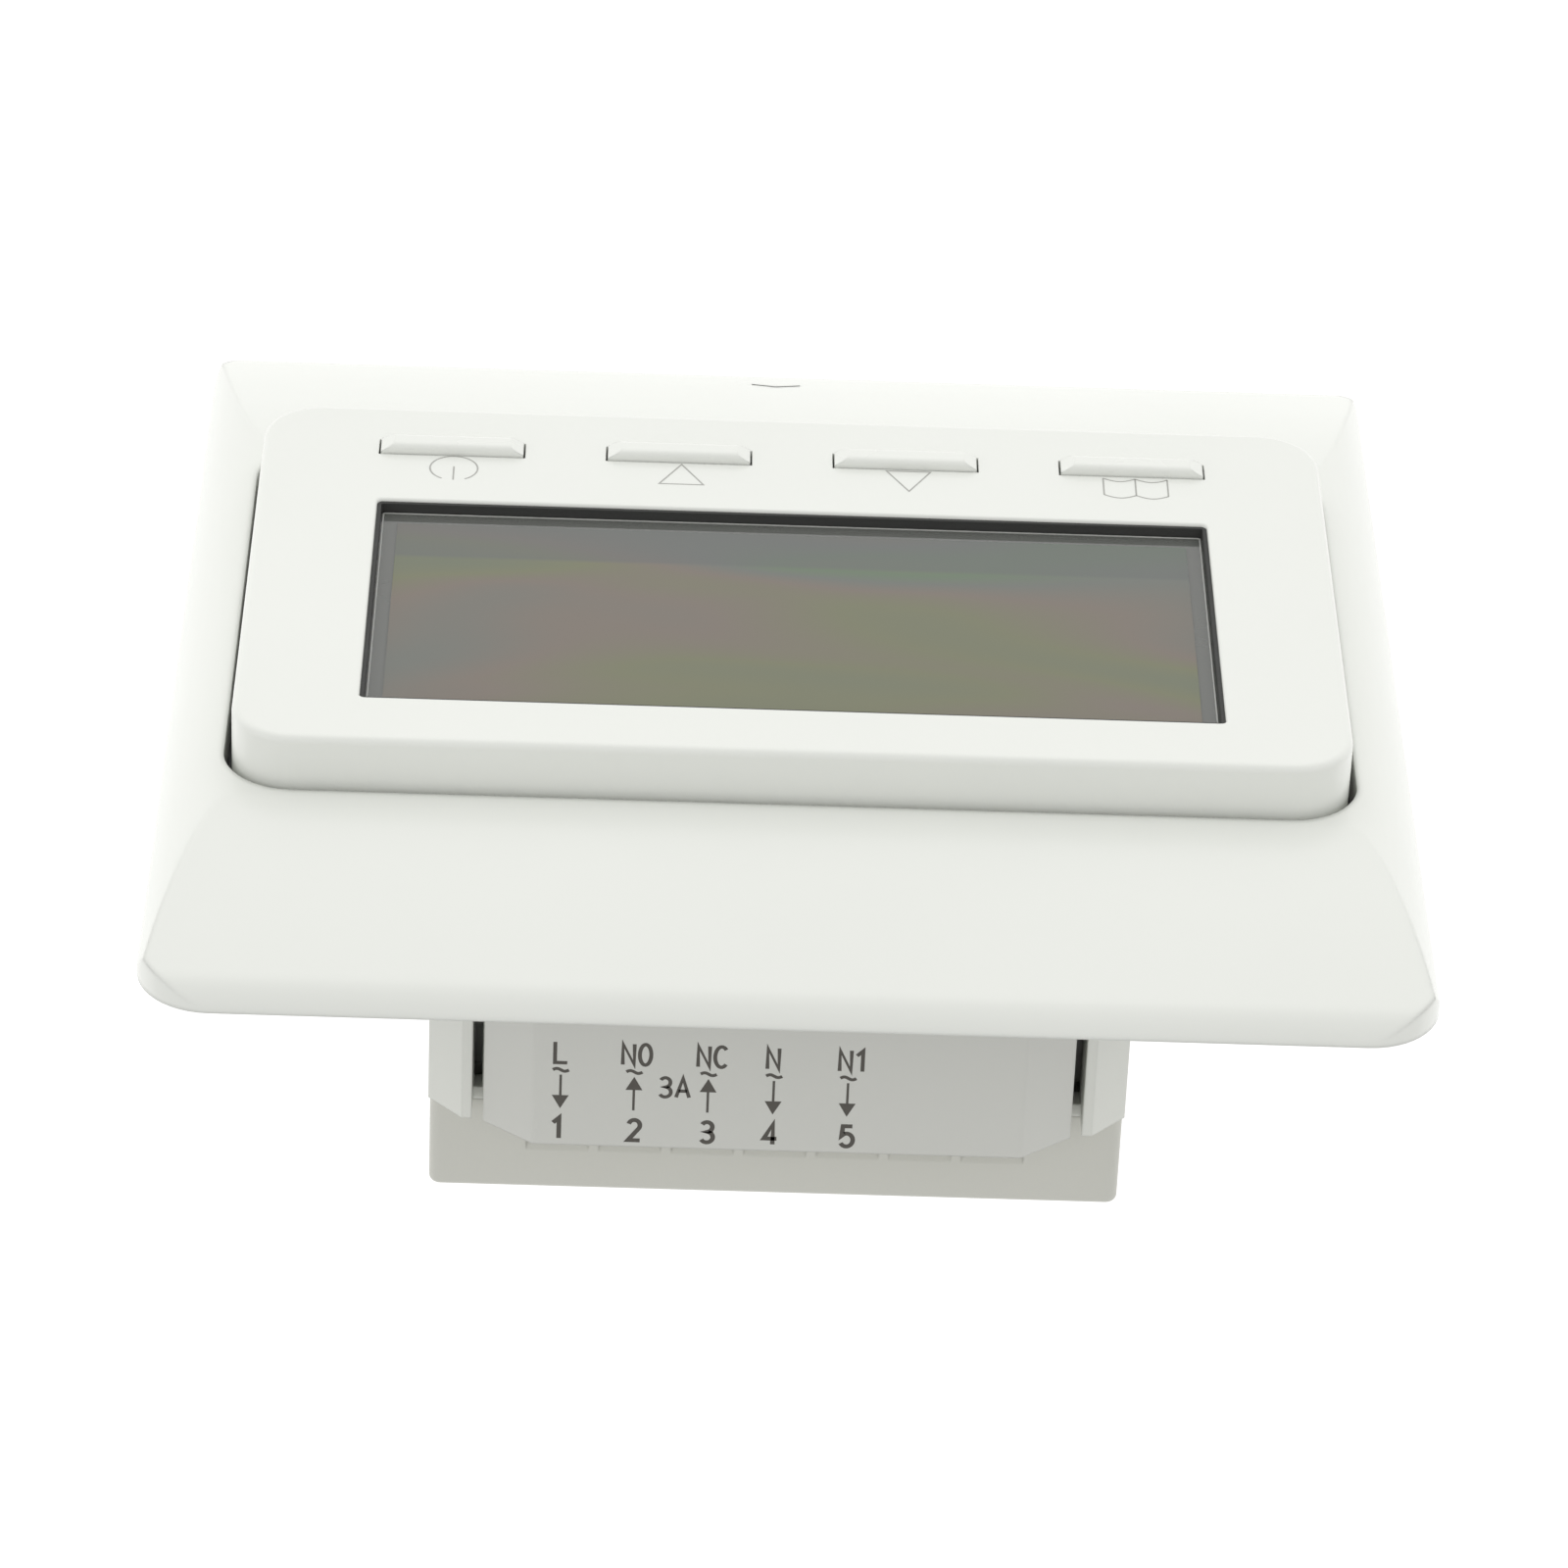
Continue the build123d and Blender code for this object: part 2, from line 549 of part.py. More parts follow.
with BuildPart() as front_cover:
    with BuildSketch(at(-COVER_BACK)):
        RectangleRounded(MODULE_W, MODULE_H, MODULE_CORNER)
    extrude(amount=COVER_FACE - COVER_BACK)
    face_edges = front_cover.edges().group_by(Axis.Y)[0]
    fillet(face_edges, radius=0.5)
    with BuildSketch(at(-COVER_BACK)):
        RectangleRounded(module_inner_w, module_inner_h, MODULE_CORNER - COVER_WALL)
    extrude(amount=cover_inner - COVER_BACK, mode=Mode.SUBTRACT)
    # rebate for the glass, and the window
    with BuildSketch(at(-cover_inner)):
        with Locations((0, WINDOW_Z)):
            Rectangle(GLASS_W + 0.3, GLASS_H + 0.3)
    extrude(amount=glass_front - cover_inner, mode=Mode.SUBTRACT)
    with BuildSketch(at(-cover_inner)):
        with Locations((0, WINDOW_Z)):
            RectangleRounded(WINDOW_W, WINDOW_H, 0.4)
    extrude(amount=COVER_WALL, mode=Mode.SUBTRACT)
    window_edges = front_cover.edges().group_by(Axis.Y)[0].filter_by(
        lambda e: abs(e.center().Z - WINDOW_Z) < WINDOW_H / 2 + 0.1
        and abs(e.center().X) < WINDOW_W / 2 + 0.1)
    fillet(window_edges, radius=0.25)
    # key openings
    with BuildSketch(at(-cover_inner)):
        with Locations(*[(x, KEY_Z) for x in key_x]):
            Rectangle(KEY_W + 2 * KEY_END_GAP, KEY_H + 2 * KEY_GAP)
    extrude(amount=COVER_WALL, mode=Mode.SUBTRACT)
    # screw bosses, down to the control board
    board_front = 4.2
    with BuildSketch(at(-board_front)):
        with Locations(*module_boss_points):
            Circle(1.9)
    extrude(amount=cover_inner - board_front)
    with BuildSketch(at(-board_front)):
        with Locations(*module_boss_points):
            Circle(0.8)
    extrude(amount=2.6, mode=Mode.SUBTRACT)
front_cover.part.label = "front_cover"
export_step(front_cover.part, "parts/front_cover.step")

# --- display module: keys and their switches ----------------------------------------------------
SWITCH_TOP = 5.7         # top of a switch body, off the wall
PLUNGER_TOP = 6.3
key_flange = cover_inner - 0.05

for name, x in zip(key_names, key_x):
    with BuildPart() as key:
        # the bar that shows, bevelled down to its ends
        with BuildSketch(at(-key_flange)):
            with Locations((x, KEY_Z)):
                Rectangle(KEY_W, KEY_H)
        extrude(amount=COVER_FACE + KEY_PROUD - key_flange)
        tip_edges = key.edges().group_by(Axis.Y)[0]
        chamfer(tip_edges.filter_by(Axis.Z), length=0.55, length2=0.95)
        long_edges = key.edges().group_by(Axis.Y)[0].filter_by(Axis.X)
        fillet(long_edges, radius=0.5)
        # retaining flange and stem behind the cover
        with BuildSketch(at(-(key_flange - 0.7))):
            with Locations((x, KEY_Z)):
                RectangleRounded(KEY_W + 1.8, KEY_H + 2.4, 0.6)
        extrude(amount=0.7)
        with BuildSketch(at(-PLUNGER_TOP)):
            with Locations((x, KEY_Z)):
                Circle(1.1)
        extrude(amount=key_flange - PLUNGER_TOP)
    key.part.label = name
    export_step(key.part, f"parts/{name}.step")

    with BuildPart() as plunger:
        with BuildSketch(at(-(PLUNGER_TOP - 1.3))):
            with Locations((x, KEY_Z)):
                Circle(0.9)
        extrude(amount=1.3)
    plunger_name = name.replace("key", "switch_plunger")
    plunger.part.label = plunger_name
    export_step(plunger.part, f"parts/{plunger_name}.step")

with BuildPart() as tact_switches:
    with BuildSketch(at(-board_front)):
        with Locations(*[(x, KEY_Z) for x in key_x]):
            RectangleRounded(5.2, 4.2, 0.3)
    extrude(amount=SWITCH_TOP - board_front)
    with BuildSketch(at(-board_front - 0.2)):
        with Locations(*[(x, KEY_Z) for x in key_x]):
            Circle(0.98)
    extrude(amount=2, mode=Mode.SUBTRACT)
tact_switches.part.label = "tact_switches"
export_step(tact_switches.part, "parts/tact_switches.step")

# --- display module: liquid crystal display -----------------------------------------------------
POLARISER = 0.1
GLASS = 0.75
GUIDE_TOP = glass_front - POLARISER - 2 * GLASS
LEDGE_TRIM = 2.7         # the rear glass stops short here, so that the contacts are reached
glass_low = WINDOW_Z - GLASS_H / 2
glass_high = WINDOW_Z + GLASS_H / 2


def rectangle_between(x_half, z_low, z_high):
    """Rectangle centred on x = 0 between two heights, added to the sketch in hand."""
    with Locations((0, (z_low + z_high) / 2)):
        return Rectangle(2 * x_half, z_high - z_low)


with BuildPart() as lcd_polariser:
    with BuildSketch(at(-(glass_front - POLARISER))):
        with Locations((0, WINDOW_Z + 1.3)):
            Rectangle(WINDOW_W - 3.0, WINDOW_H - 1.3)
    extrude(amount=POLARISER)
lcd_polariser.part.label = "lcd_polariser"
export_step(lcd_polariser.part, "parts/lcd_polariser.step")

with BuildPart() as lcd_front_glass:
    with BuildSketch(at(-(glass_front - POLARISER - GLASS))):
        rectangle_between(GLASS_W / 2, glass_low, glass_high)
    extrude(amount=GLASS)
lcd_front_glass.part.label = "lcd_front_glass"
export_step(lcd_front_glass.part, "parts/lcd_front_glass.step")

with BuildPart() as lcd_rear_glass:
    with BuildSketch(at(-GUIDE_TOP)):
        rectangle_between(GLASS_W / 2, glass_low, glass_high - LEDGE_TRIM)
    extrude(amount=GLASS)
lcd_rear_glass.part.label = "lcd_rear_glass"
export_step(lcd_rear_glass.part, "parts/lcd_rear_glass.step")

with BuildPart() as light_guide:
    with BuildSketch(at(-(board_front + 0.5))):
        rectangle_between(GLASS_W / 2 - 2.2, glass_low + 0.2, glass_high - LEDGE_TRIM)
    extrude(amount=GUIDE_TOP - board_front - 0.5)
light_guide.part.label = "light_guide"
export_step(light_guide.part, "parts/light_guide.step")

with BuildPart() as backlight_leds:
    with BuildSketch(at(-board_front)):
        with Locations((-GLASS_W / 2 + 1.2, WINDOW_Z), (GLASS_W / 2 - 1.2, WINDOW_Z)):
            Rectangle(1.2, 3.0)
    extrude(amount=1.4)
backlight_leds.part.label = "backlight_leds"
export_step(backlight_leds.part, "parts/backlight_leds.step")

with BuildPart() as zebra_connector:
    with BuildSketch(at(-board_front)):
        rectangle_between(27, glass_high - 2.3, glass_high - 0.5)
    extrude(amount=GUIDE_TOP + GLASS - board_front)
zebra_connector.part.label = "zebra_connector"
export_step(zebra_connector.part, "parts/zebra_connector.step")

with BuildPart() as lcd_holder:
    with BuildSketch(at(-board_front)):
        rectangle_between(GLASS_W / 2 + 1.2, glass_low - 1.2, glass_high + 1.2)
        with Locations((0, WINDOW_Z)):
            Rectangle(GLASS_W + 0.1, GLASS_H + 0.1, mode=Mode.SUBTRACT)
    extrude(amount=cover_inner - board_front)
lcd_holder.part.label = "lcd_holder"
export_step(lcd_holder.part, "parts/lcd_holder.step")

# --- display module: control board --------------------------------------------------------------
board_back = board_front - BOARD

with BuildPart() as control_board:
    with BuildSketch(at(-board_back)):
        RectangleRounded(module_inner_w - 0.5, module_inner_h - 0.5, 2.4)
        with Locations(*module_boss_points):
            Circle(1.15, mode=Mode.SUBTRACT)
        with Locations(*header_holes):
            Circle(0.5, mode=Mode.SUBTRACT)
    extrude(amount=BOARD)
control_board.part.label = "control_board"
export_step(control_board.part, "parts/control_board.step")

with BuildPart() as microcontroller:
    with BuildSketch(at(-(board_back - 1.5))):
        with Locations((-8.5, 4.5)):
            Rectangle(10, 10)
    extrude(amount=1.3)
    chamfer(microcontroller.edges().group_by(Axis.Y)[-1], length=0.15)
    # gull-wing leads, down to the board
    with BuildSketch(at(-(board_back - 0.6))):
        for side in range(4):
            with PolarLocations(5.45, 1, start_angle=90 * side):
                with GridLocations(1, 0.8, 1, 11):
                    Rectangle(1.5, 0.35)
    leads = extrude(amount=0.6, mode=Mode.PRIVATE)
    add(leads.moved(Location((-8.5, 0, 4.5))))
microcontroller.part.label = "microcontroller"
export_step(microcontroller.part, "parts/microcontroller.step")

with BuildPart() as clock_crystal:
    with BuildSketch(at(-(board_back - 1.6))):
        with Locations((-1.0, -4.2)):
            SlotOverall(7.0, 2.4)
    extrude(amount=1.6)
clock_crystal.part.label = "clock_crystal"
export_step(clock_crystal.part, "parts/clock_crystal.step")

CELL_X = 6.9
CELL_Z = 5.0
with BuildPart() as cell_holder:
    with BuildSketch(at(-(board_back - 3.4))):
        with Locations((CELL_X, CELL_Z)):
            RectangleRounded(15.6, 14.6, 1)
    extrude(amount=3.4)
    with BuildSketch(at(-(board_back - 3.4))):
        with Locations((CELL_X, CELL_Z)):
            Circle(6.4)
    extrude(amount=2.6, mode=Mode.SUBTRACT)
cell_holder.part.label = "cell_holder"
export_step(cell_holder.part, "parts/cell_holder.step")

with BuildPart() as backup_cell:
    with BuildSketch(at(-(board_back - 2.9))):
        with Locations((CELL_X, CELL_Z)):
            Circle(6.25)
    extrude(amount=2.1)
    fillet(backup_cell.edges().group_by(Axis.Y)[-1], radius=0.3)
backup_cell.part.label = "backup_cell"
export_step(backup_cell.part, "parts/backup_cell.step")

with BuildPart() as pin_header:
    with BuildSketch(at(-(board_back - 2.5))):
        with Locations((0, HEADER_Z)):
            Rectangle(12.7, 5.0)
        with Locations(*header_holes):
            Rectangle(0.7, 0.7, mode=Mode.SUBTRACT)
    extrude(amount=2.5)
pin_header.part.label = "pin_header"
export_step(pin_header.part, "parts/pin_header.step")

with BuildPart() as header_pins:
    with BuildSketch(at(8.0)):
        with Locations(*header_holes):
            Rectangle(0.64, 0.64)
    extrude(amount=8.0 + board_front - 0.1)
header_pins.part.label = "header_pins"
export_step(header_pins.part, "parts/header_pins.step")

# --- display module: back plate with its well ---------------------------------------------------
BACK = 1.2
WELL_Y = 3.2             # rear face of the well, behind the wall surface
WELL_WALL = 1.0

with BuildPart() as module_back:
    with BuildSketch(at(-COVER_BACK)):
        RectangleRounded(module_inner_w - 0.3, module_inner_h - 0.3, 2.6)
    extrude(amount=BACK)
    with BuildSketch(at(WELL_Y)):
        RectangleRounded(2 * WELL_X, 2 * WELL_Z, 1.5)
    extrude(amount=WELL_Y + COVER_BACK)
    with BuildSketch(at(WELL_Y - WELL_WALL)):
        RectangleRounded(2 * (WELL_X - WELL_WALL), 2 * (WELL_Z - WELL_WALL), 0.8)
    extrude(amount=8, mode=Mode.SUBTRACT)
    with BuildSketch(at(WELL_Y)):
        with Locations((0, HEADER_Z)):
            Rectangle(13.2, 5.6)
    extrude(amount=WELL_WALL, mode=Mode.SUBTRACT)
    # pillars that meet the control board, counterbored for the screws
    with BuildSketch(at(-COVER_BACK)):
        with Locations(*module_boss_points):
            Circle(2.2)
    extrude(amount=board_back - COVER_BACK)
    with BuildSketch(at(-COVER_BACK)):
        with Locations(*module_boss_points):
            Circle(1.15)
    extrude(amount=board_back - COVER_BACK, mode=Mode.SUBTRACT)
    with BuildSketch(at(-COVER_BACK)):
        with Locations(*module_boss_points):
            Circle(1.8)
    extrude(amount=0.9, mode=Mode.SUBTRACT)
module_back.part.label = "module_back"
export_step(module_back.part, "parts/module_back.step")

with BuildPart() as module_screws:
    with BuildSketch(at(-COVER_BACK - 0.1)):
        with Locations(*module_boss_points):
            Circle(1.7)
    extrude(amount=0.8)
    with BuildSketch(at(-COVER_BACK - 0.9)):
        with Locations(*module_boss_points):
            Circle(0.8)
    extrude(amount=4.2)
    with BuildSketch(at(-COVER_BACK - 0.1)):
        with Locations(*module_boss_points):
            Rectangle(1.9, 0.45)
            Rectangle(0.45, 1.9)
    extrude(amount=0.45, mode=Mode.SUBTRACT)
module_screws.part.label = "module_screws"
export_step(module_screws.part, "parts/module_screws.step")
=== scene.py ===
import math

import bmesh
import bpy
from mathutils import Matrix, Vector


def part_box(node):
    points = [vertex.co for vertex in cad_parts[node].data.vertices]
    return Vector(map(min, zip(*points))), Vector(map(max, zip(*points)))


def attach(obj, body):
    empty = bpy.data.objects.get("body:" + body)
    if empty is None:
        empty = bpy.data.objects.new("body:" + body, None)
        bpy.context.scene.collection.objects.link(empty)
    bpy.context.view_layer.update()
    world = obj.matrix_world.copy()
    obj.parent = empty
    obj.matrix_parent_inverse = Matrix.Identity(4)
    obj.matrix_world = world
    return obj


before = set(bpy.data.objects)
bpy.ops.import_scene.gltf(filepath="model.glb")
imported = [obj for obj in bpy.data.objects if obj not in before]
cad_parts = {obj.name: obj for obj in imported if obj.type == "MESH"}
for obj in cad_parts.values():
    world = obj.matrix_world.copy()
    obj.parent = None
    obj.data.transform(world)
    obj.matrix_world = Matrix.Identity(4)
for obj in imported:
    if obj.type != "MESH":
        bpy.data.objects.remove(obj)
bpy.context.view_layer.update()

# --- camera ---------------------------------------------------------------------------------------
# The timer is seen from in front and above its top edge, with the camera turned so that the terminal
# side is lowest. A long lens, half a metre away.
MM = 0.001               # one millimetre in metres
eye = Vector((10.64, -266.57, 437.69)) * MM
look = Vector((-0.0206, 0.5312, -0.8470)).normalized()
across = Vector((-0.9993, -0.0369, 0.0011))
across = (across - look * across.dot(look)).normalized()
upward = across.cross(look)
turn = Matrix((across, upward, -look)).transposed().to_4x4()

camera_data = bpy.data.cameras.new("camera")
camera_data.sensor_width = 36.0
camera_data.lens = 167.1
camera_data.clip_start = 0.01
camera_data.clip_end = 20.0
camera = bpy.data.objects.new("camera", camera_data)
bpy.context.scene.collection.objects.link(camera)
camera.matrix_world = Matrix.Translation(eye) @ turn
bpy.context.scene.camera = camera

# --- studio ---------------------------------------------------------------------------------------
# A pale floor far below the timer, even white surroundings, one large soft lamp in front of its face
# and two narrow ones that draw the soft lines on its corners.
FLOOR_Z = -0.42
FLOOR_HALF = 4.0


def to_object(bm, name):
    """Turns a finished bmesh into an object in the scene."""
    mesh = bpy.data.meshes.new(name)
    bm.to_mesh(mesh)
    bm.free()
    made = bpy.data.objects.new(name, mesh)
    bpy.context.scene.collection.objects.link(made)
    return made


floor_bm = bmesh.new()
corners = [floor_bm.verts.new((x * FLOOR_HALF, y * FLOOR_HALF, FLOOR_Z))
           for x, y in ((-1, -1), (1, -1), (1, 1), (-1, 1))]
floor_bm.faces.new(corners)
floor = to_object(floor_bm, "floor")

floor_paint = bpy.data.materials.new("floor_paint")
floor_paint.use_nodes = True
floor_shader = floor_paint.node_tree.nodes["Principled BSDF"]
floor_shader.inputs["Base Color"].default_value = (0.92, 0.92, 0.91, 1)
floor_shader.inputs["Roughness"].default_value = 0.9
floor_shader.inputs["Emission Color"].default_value = (1, 1, 1, 1)
floor_shader.inputs["Emission Strength"].default_value = 0.45
floor.data.materials.append(floor_paint)

world = bpy.data.worlds.new("studio")
world.use_nodes = True
world.node_tree.nodes["Background"].inputs["Color"].default_value = (1.0, 1.0, 0.99, 1)
world.node_tree.nodes["Background"].inputs["Strength"].default_value = 0.76
bpy.context.scene.world = world
bpy.context.scene.view_settings.view_transform = "Standard"


def soft_lamp(name, place, watts, width, height):
    """Rectangular lamp that points at the middle of the timer."""
    data = bpy.data.lights.new(name, "AREA")
    data.shape = "RECTANGLE"
    data.size = width
    data.size_y = height
    data.energy = watts
    lamp = bpy.data.objects.new(name, data)
    bpy.context.scene.collection.objects.link(lamp)
    lamp.location = place
    lamp.rotation_euler = (-Vector(place)).to_track_quat("-Z", "Y").to_euler()


soft_lamp("front_lamp", (0.25, -0.90, -0.05), 0.35, 0.9, 0.7)
soft_lamp("left_lamp", (-0.60, -0.40, 0.35), 0.12, 0.10, 0.7)
soft_lamp("right_lamp", (0.55, -0.20, 0.50), 0.30, 0.10, 0.6)

# --- surround -------------------------------------------------------------------------------------
# One injection moulding in white ABS, polished in the tool, so it is glossy with a faint ripple.
# Four legs behind it snap into the mounting plate; a small mark at its lower edge shows where to pry.


def socketed_group(name, inputs, outputs):
    """Empty shader node group with the named sockets; gives the tree and its two end nodes."""
    tree = bpy.data.node_groups.new(name, "ShaderNodeTree")
    for label, kind, value in inputs:
        socket = tree.interface.new_socket(label, in_out="INPUT", socket_type=kind)
        socket.default_value = value
    for label, kind in outputs:
        tree.interface.new_socket(label, in_out="OUTPUT", socket_type=kind)
    start = tree.nodes.new("NodeGroupInput")
    end = tree.nodes.new("NodeGroupOutput")
    return tree, start, end


def noise(tree, where, scale, detail=2.0, distortion=0.0):
    """Noise texture fed by a vector output; gives its node."""
    node = tree.nodes.new("ShaderNodeTexNoise")
    node.inputs["Scale"].default_value = scale
    node.inputs["Detail"].default_value = detail
    node.inputs["Distortion"].default_value = distortion
    tree.links.new(where, node.inputs["Vector"])
    return node


def spread(tree, value, low, high):
    """Maps 0..1 of a value onto low..high."""
    node = tree.nodes.new("ShaderNodeMapRange")
    node.inputs["To Min"].default_value = low
    node.inputs["To Max"].default_value = high
    tree.links.new(value, node.inputs["Value"])
    return node.outputs["Result"]


def product(tree, first, second):
    """Product of two sockets; gives the socket of the result."""
    node = tree.nodes.new("ShaderNodeMath")
    node.operation = "MULTIPLY"
    tree.links.new(first, node.inputs[0])
    tree.links.new(second, node.inputs[1])
    return node.outputs[0]


def blend_colour(tree, factor, first, second):
    """Mixes two colours, each a socket or an RGBA value."""
    node = tree.nodes.new("ShaderNodeMix")
    node.data_type = "RGBA"
    tree.links.new(factor, node.inputs["Factor"])
    for label, value in (("A", first), ("B", second)):
        socket = [s for s in node.inputs if s.name == label and s.type == "RGBA"][0]
        if isinstance(value, tuple):
            socket.default_value = value
        else:
            tree.links.new(value, socket)
    return [s for s in node.outputs if s.type == "RGBA"][0]


def build_moulded():
    """Group: moulded plastic with rounded-looking edges, paler edges that are partly a painted highlight and
    partly rubbed wear, ripple and tone drift.
    """
    tree, start, end = socketed_group(
        "moulded_skin",
        [("Colour", "NodeSocketColor", (0.8, 0.8, 0.8, 1)),
         ("Edge Highlight And Wear", "NodeSocketColor", (0.9, 0.9, 0.9, 1)),
         ("Roughness", "NodeSocketFloat", 0.3),
         ("Edge", "NodeSocketFloat", 0.0002),
         ("Grain", "NodeSocketFloat", 0.1),
         ("Grain Scale", "NodeSocketFloat", 2500.0)],
        [("Colour", "NodeSocketColor"), ("Roughness", "NodeSocketFloat"), ("Normal", "NodeSocketVector")])
    here = tree.nodes.new("ShaderNodeTexCoord").outputs["Object"]
    bevel = tree.nodes.new("ShaderNodeBevel")
    bevel.samples = 6
    tree.links.new(start.outputs["Edge"], bevel.inputs["Radius"])
    shape = tree.nodes.new("ShaderNodeNewGeometry").outputs["Normal"]
    facing = tree.nodes.new("ShaderNodeVectorMath")
    facing.operation = "DOT_PRODUCT"
    tree.links.new(bevel.outputs["Normal"], facing.inputs[0])
    tree.links.new(shape, facing.inputs[1])
    # edge mask from the bevelled normal; the paler colour it mixes in is partly a painted edge highlight,
    # partly rubbed wear
    edge = spread(tree, facing.outputs["Value"], 0.55, 0.0)
    edge.node.inputs["From Min"].default_value = 0.80
    edge.node.inputs["From Max"].default_value = 0.99
    drift = noise(tree, here, 38.0, 3.0)
    toned = tree.nodes.new("ShaderNodeHueSaturation")
    tree.links.new(start.outputs["Colour"], toned.inputs["Color"])
    tree.links.new(spread(tree, drift.outputs["Fac"], 0.975, 1.02), toned.inputs["Value"])
    tree.links.new(blend_colour(tree, edge, toned.outputs["Color"], start.outputs["Edge Highlight And Wear"]),
                   end.inputs["Colour"])
    smears = noise(tree, here, 120.0, 4.0, 0.6)
    tree.links.new(product(tree, start.outputs["Roughness"], spread(tree, smears.outputs["Fac"], 0.85, 1.2)),
                   end.inputs["Roughness"])
    grain = tree.nodes.new("ShaderNodeTexNoise")
    grain.inputs["Detail"].default_value = 3.0
    tree.links.new(here, grain.inputs["Vector"])
    tree.links.new(start.outputs["Grain Scale"], grain.inputs["Scale"])
    bump = tree.nodes.new("ShaderNodeBump")
    bump.inputs["Distance"].default_value = 0.00004
    tree.links.new(start.outputs["Grain"], bump.inputs["Strength"])
    tree.links.new(grain.outputs["Fac"], bump.inputs["Height"])
    tree.links.new(bevel.outputs["Normal"], bump.inputs["Normal"])
    tree.links.new(bump.outputs["Normal"], end.inputs["Normal"])
    return tree


moulded_skin = build_moulded()


def plastic(name, colour, roughness, grain=0.1, grain_scale=2500.0, edge=0.15, edge_highlight_and_wear=1.06, coat=0.0):
    """Moulded plastic; edge is the apparent edge radius in millimetres."""
    made = bpy.data.materials.new(name)
    made.use_nodes = True
    tree = made.node_tree
    shader = tree.nodes["Principled BSDF"]
    skin = tree.nodes.new("ShaderNodeGroup")
    skin.node_tree = moulded_skin
    skin.inputs["Colour"].default_value = (*colour, 1)
    # paler colour for the edges: partly a painted highlight, partly rubbed wear
    skin.inputs["Edge Highlight And Wear"].default_value = (*[min(1.0, c * edge_highlight_and_wear) for c in colour], 1)
    skin.inputs["Roughness"].default_value = roughness
    skin.inputs["Edge"].default_value = edge * MM
    skin.inputs["Grain"].default_value = grain
    skin.inputs["Grain Scale"].default_value = grain_scale
    tree.links.new(skin.outputs["Colour"], shader.inputs["Base Color"])
    tree.links.new(skin.outputs["Roughness"], shader.inputs["Roughness"])
    tree.links.new(skin.outputs["Normal"], shader.inputs["Normal"])
    shader.inputs["Coat Weight"].default_value = coat
    shader.inputs["Coat Roughness"].default_value = 0.12
    return made


def wear(node_name, material):
    """Gives a carried-over CAD piece its finish, in every slot that it has."""
    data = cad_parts[node_name].data
    if not data.materials:
        data.materials.append(material)
    for index in range(len(data.materials)):
        data.materials[index] = material


FRONT_WHITE = (0.852, 0.866, 0.826)
front_abs = plastic("front_abs", FRONT_WHITE, 0.24, grain=0.06, grain_scale=900.0, edge=0.7, coat=0.25)
wear("surround_frame", front_abs)

# --- mounting plate -------------------------------------------------------------------------------
# A steel strap punched from 1.2 mm sheet, coloured black as painted shade: it keeps the gap round the
# display module dark.
# Two screws of the wall box hold it, and the housing hangs behind it on four countersunk screws.
gap_shade_black = plastic("gap_shade_black", (0.018, 0.018, 0.019), 0.42,
                       grain=0.3, grain_scale=3000.0, edge=0.1)
wear("mounting_plate", gap_shade_black)

# --- housing in the wall --------------------------------------------------------------------------
# Two shells in matt off-white ABS: the base with its bevelled rails, and a rear cover with the wire
# ducts, both with a fine spark-eroded texture. Four screws join them from the rear.
HOUSING_WHITE = (0.765, 0.776, 0.730)
housing_abs = plastic("housing_abs", HOUSING_WHITE, 0.48, grain=0.28, grain_scale=5200.0, edge=0.25)
# the rear cover's colour is a darker copy of the housing's ABS: painted shade from the surround that
# overhangs it
rear_abs_shaded = plastic("rear_abs_shaded", (0.640, 0.640, 0.590), 0.52, grain=0.28, grain_scale=5200.0, edge=0.3)
wear("base_housing", housing_abs)
wear("rear_cover", rear_abs_shaded)

# --- terminal cover -------------------------------------------------------------------------------
# A separate snap-on moulding over the terminal screws, in the same ABS with a smoother top, on which
# the terminal markings are pad printed in dark grey.
# its colour is a darker copy of the housing's ABS: painted shade from the surround's flange above it
shaded_terminal_cover_abs = plastic("shaded_terminal_cover_abs", (0.660, 0.664, 0.628), 0.42,
                             grain=0.18, grain_scale=5200.0, edge=0.3)
wear("terminal_cover", shaded_terminal_cover_abs)

# --- terminal markings ----------------------------------------------------------------------------
# Printed ink, a few hundredths of a millimetre thick. Five terminals are marked with a letter, an
# alternating-current sign, the direction of the current and a number.
INK = 0.02               # printed film, millimetres


def strip_points(points, width, closed):
    """Left and right edges of a line of constant width, mitred at its corners."""
    count = len(points)
    left, right = [], []
    for i, here in enumerate(points):
        before = points[i - 1] if closed or i > 0 else None
        after = points[(i + 1) % count] if closed or i < count - 1 else None
        sides = []
        for a, b in ((before, here), (here, after)):
            if a is not None and b is not None:
                run = (b - a).normalized()
                sides.append(Vector((-run.y, run.x)))
        mitre = (sides[0] + sides[-1]).normalized()
        reach = width / 2 / max(0.35, mitre.dot(sides[0]))
        left.append(here + mitre * reach)
        right.append(here - mitre * reach)
    return left, right


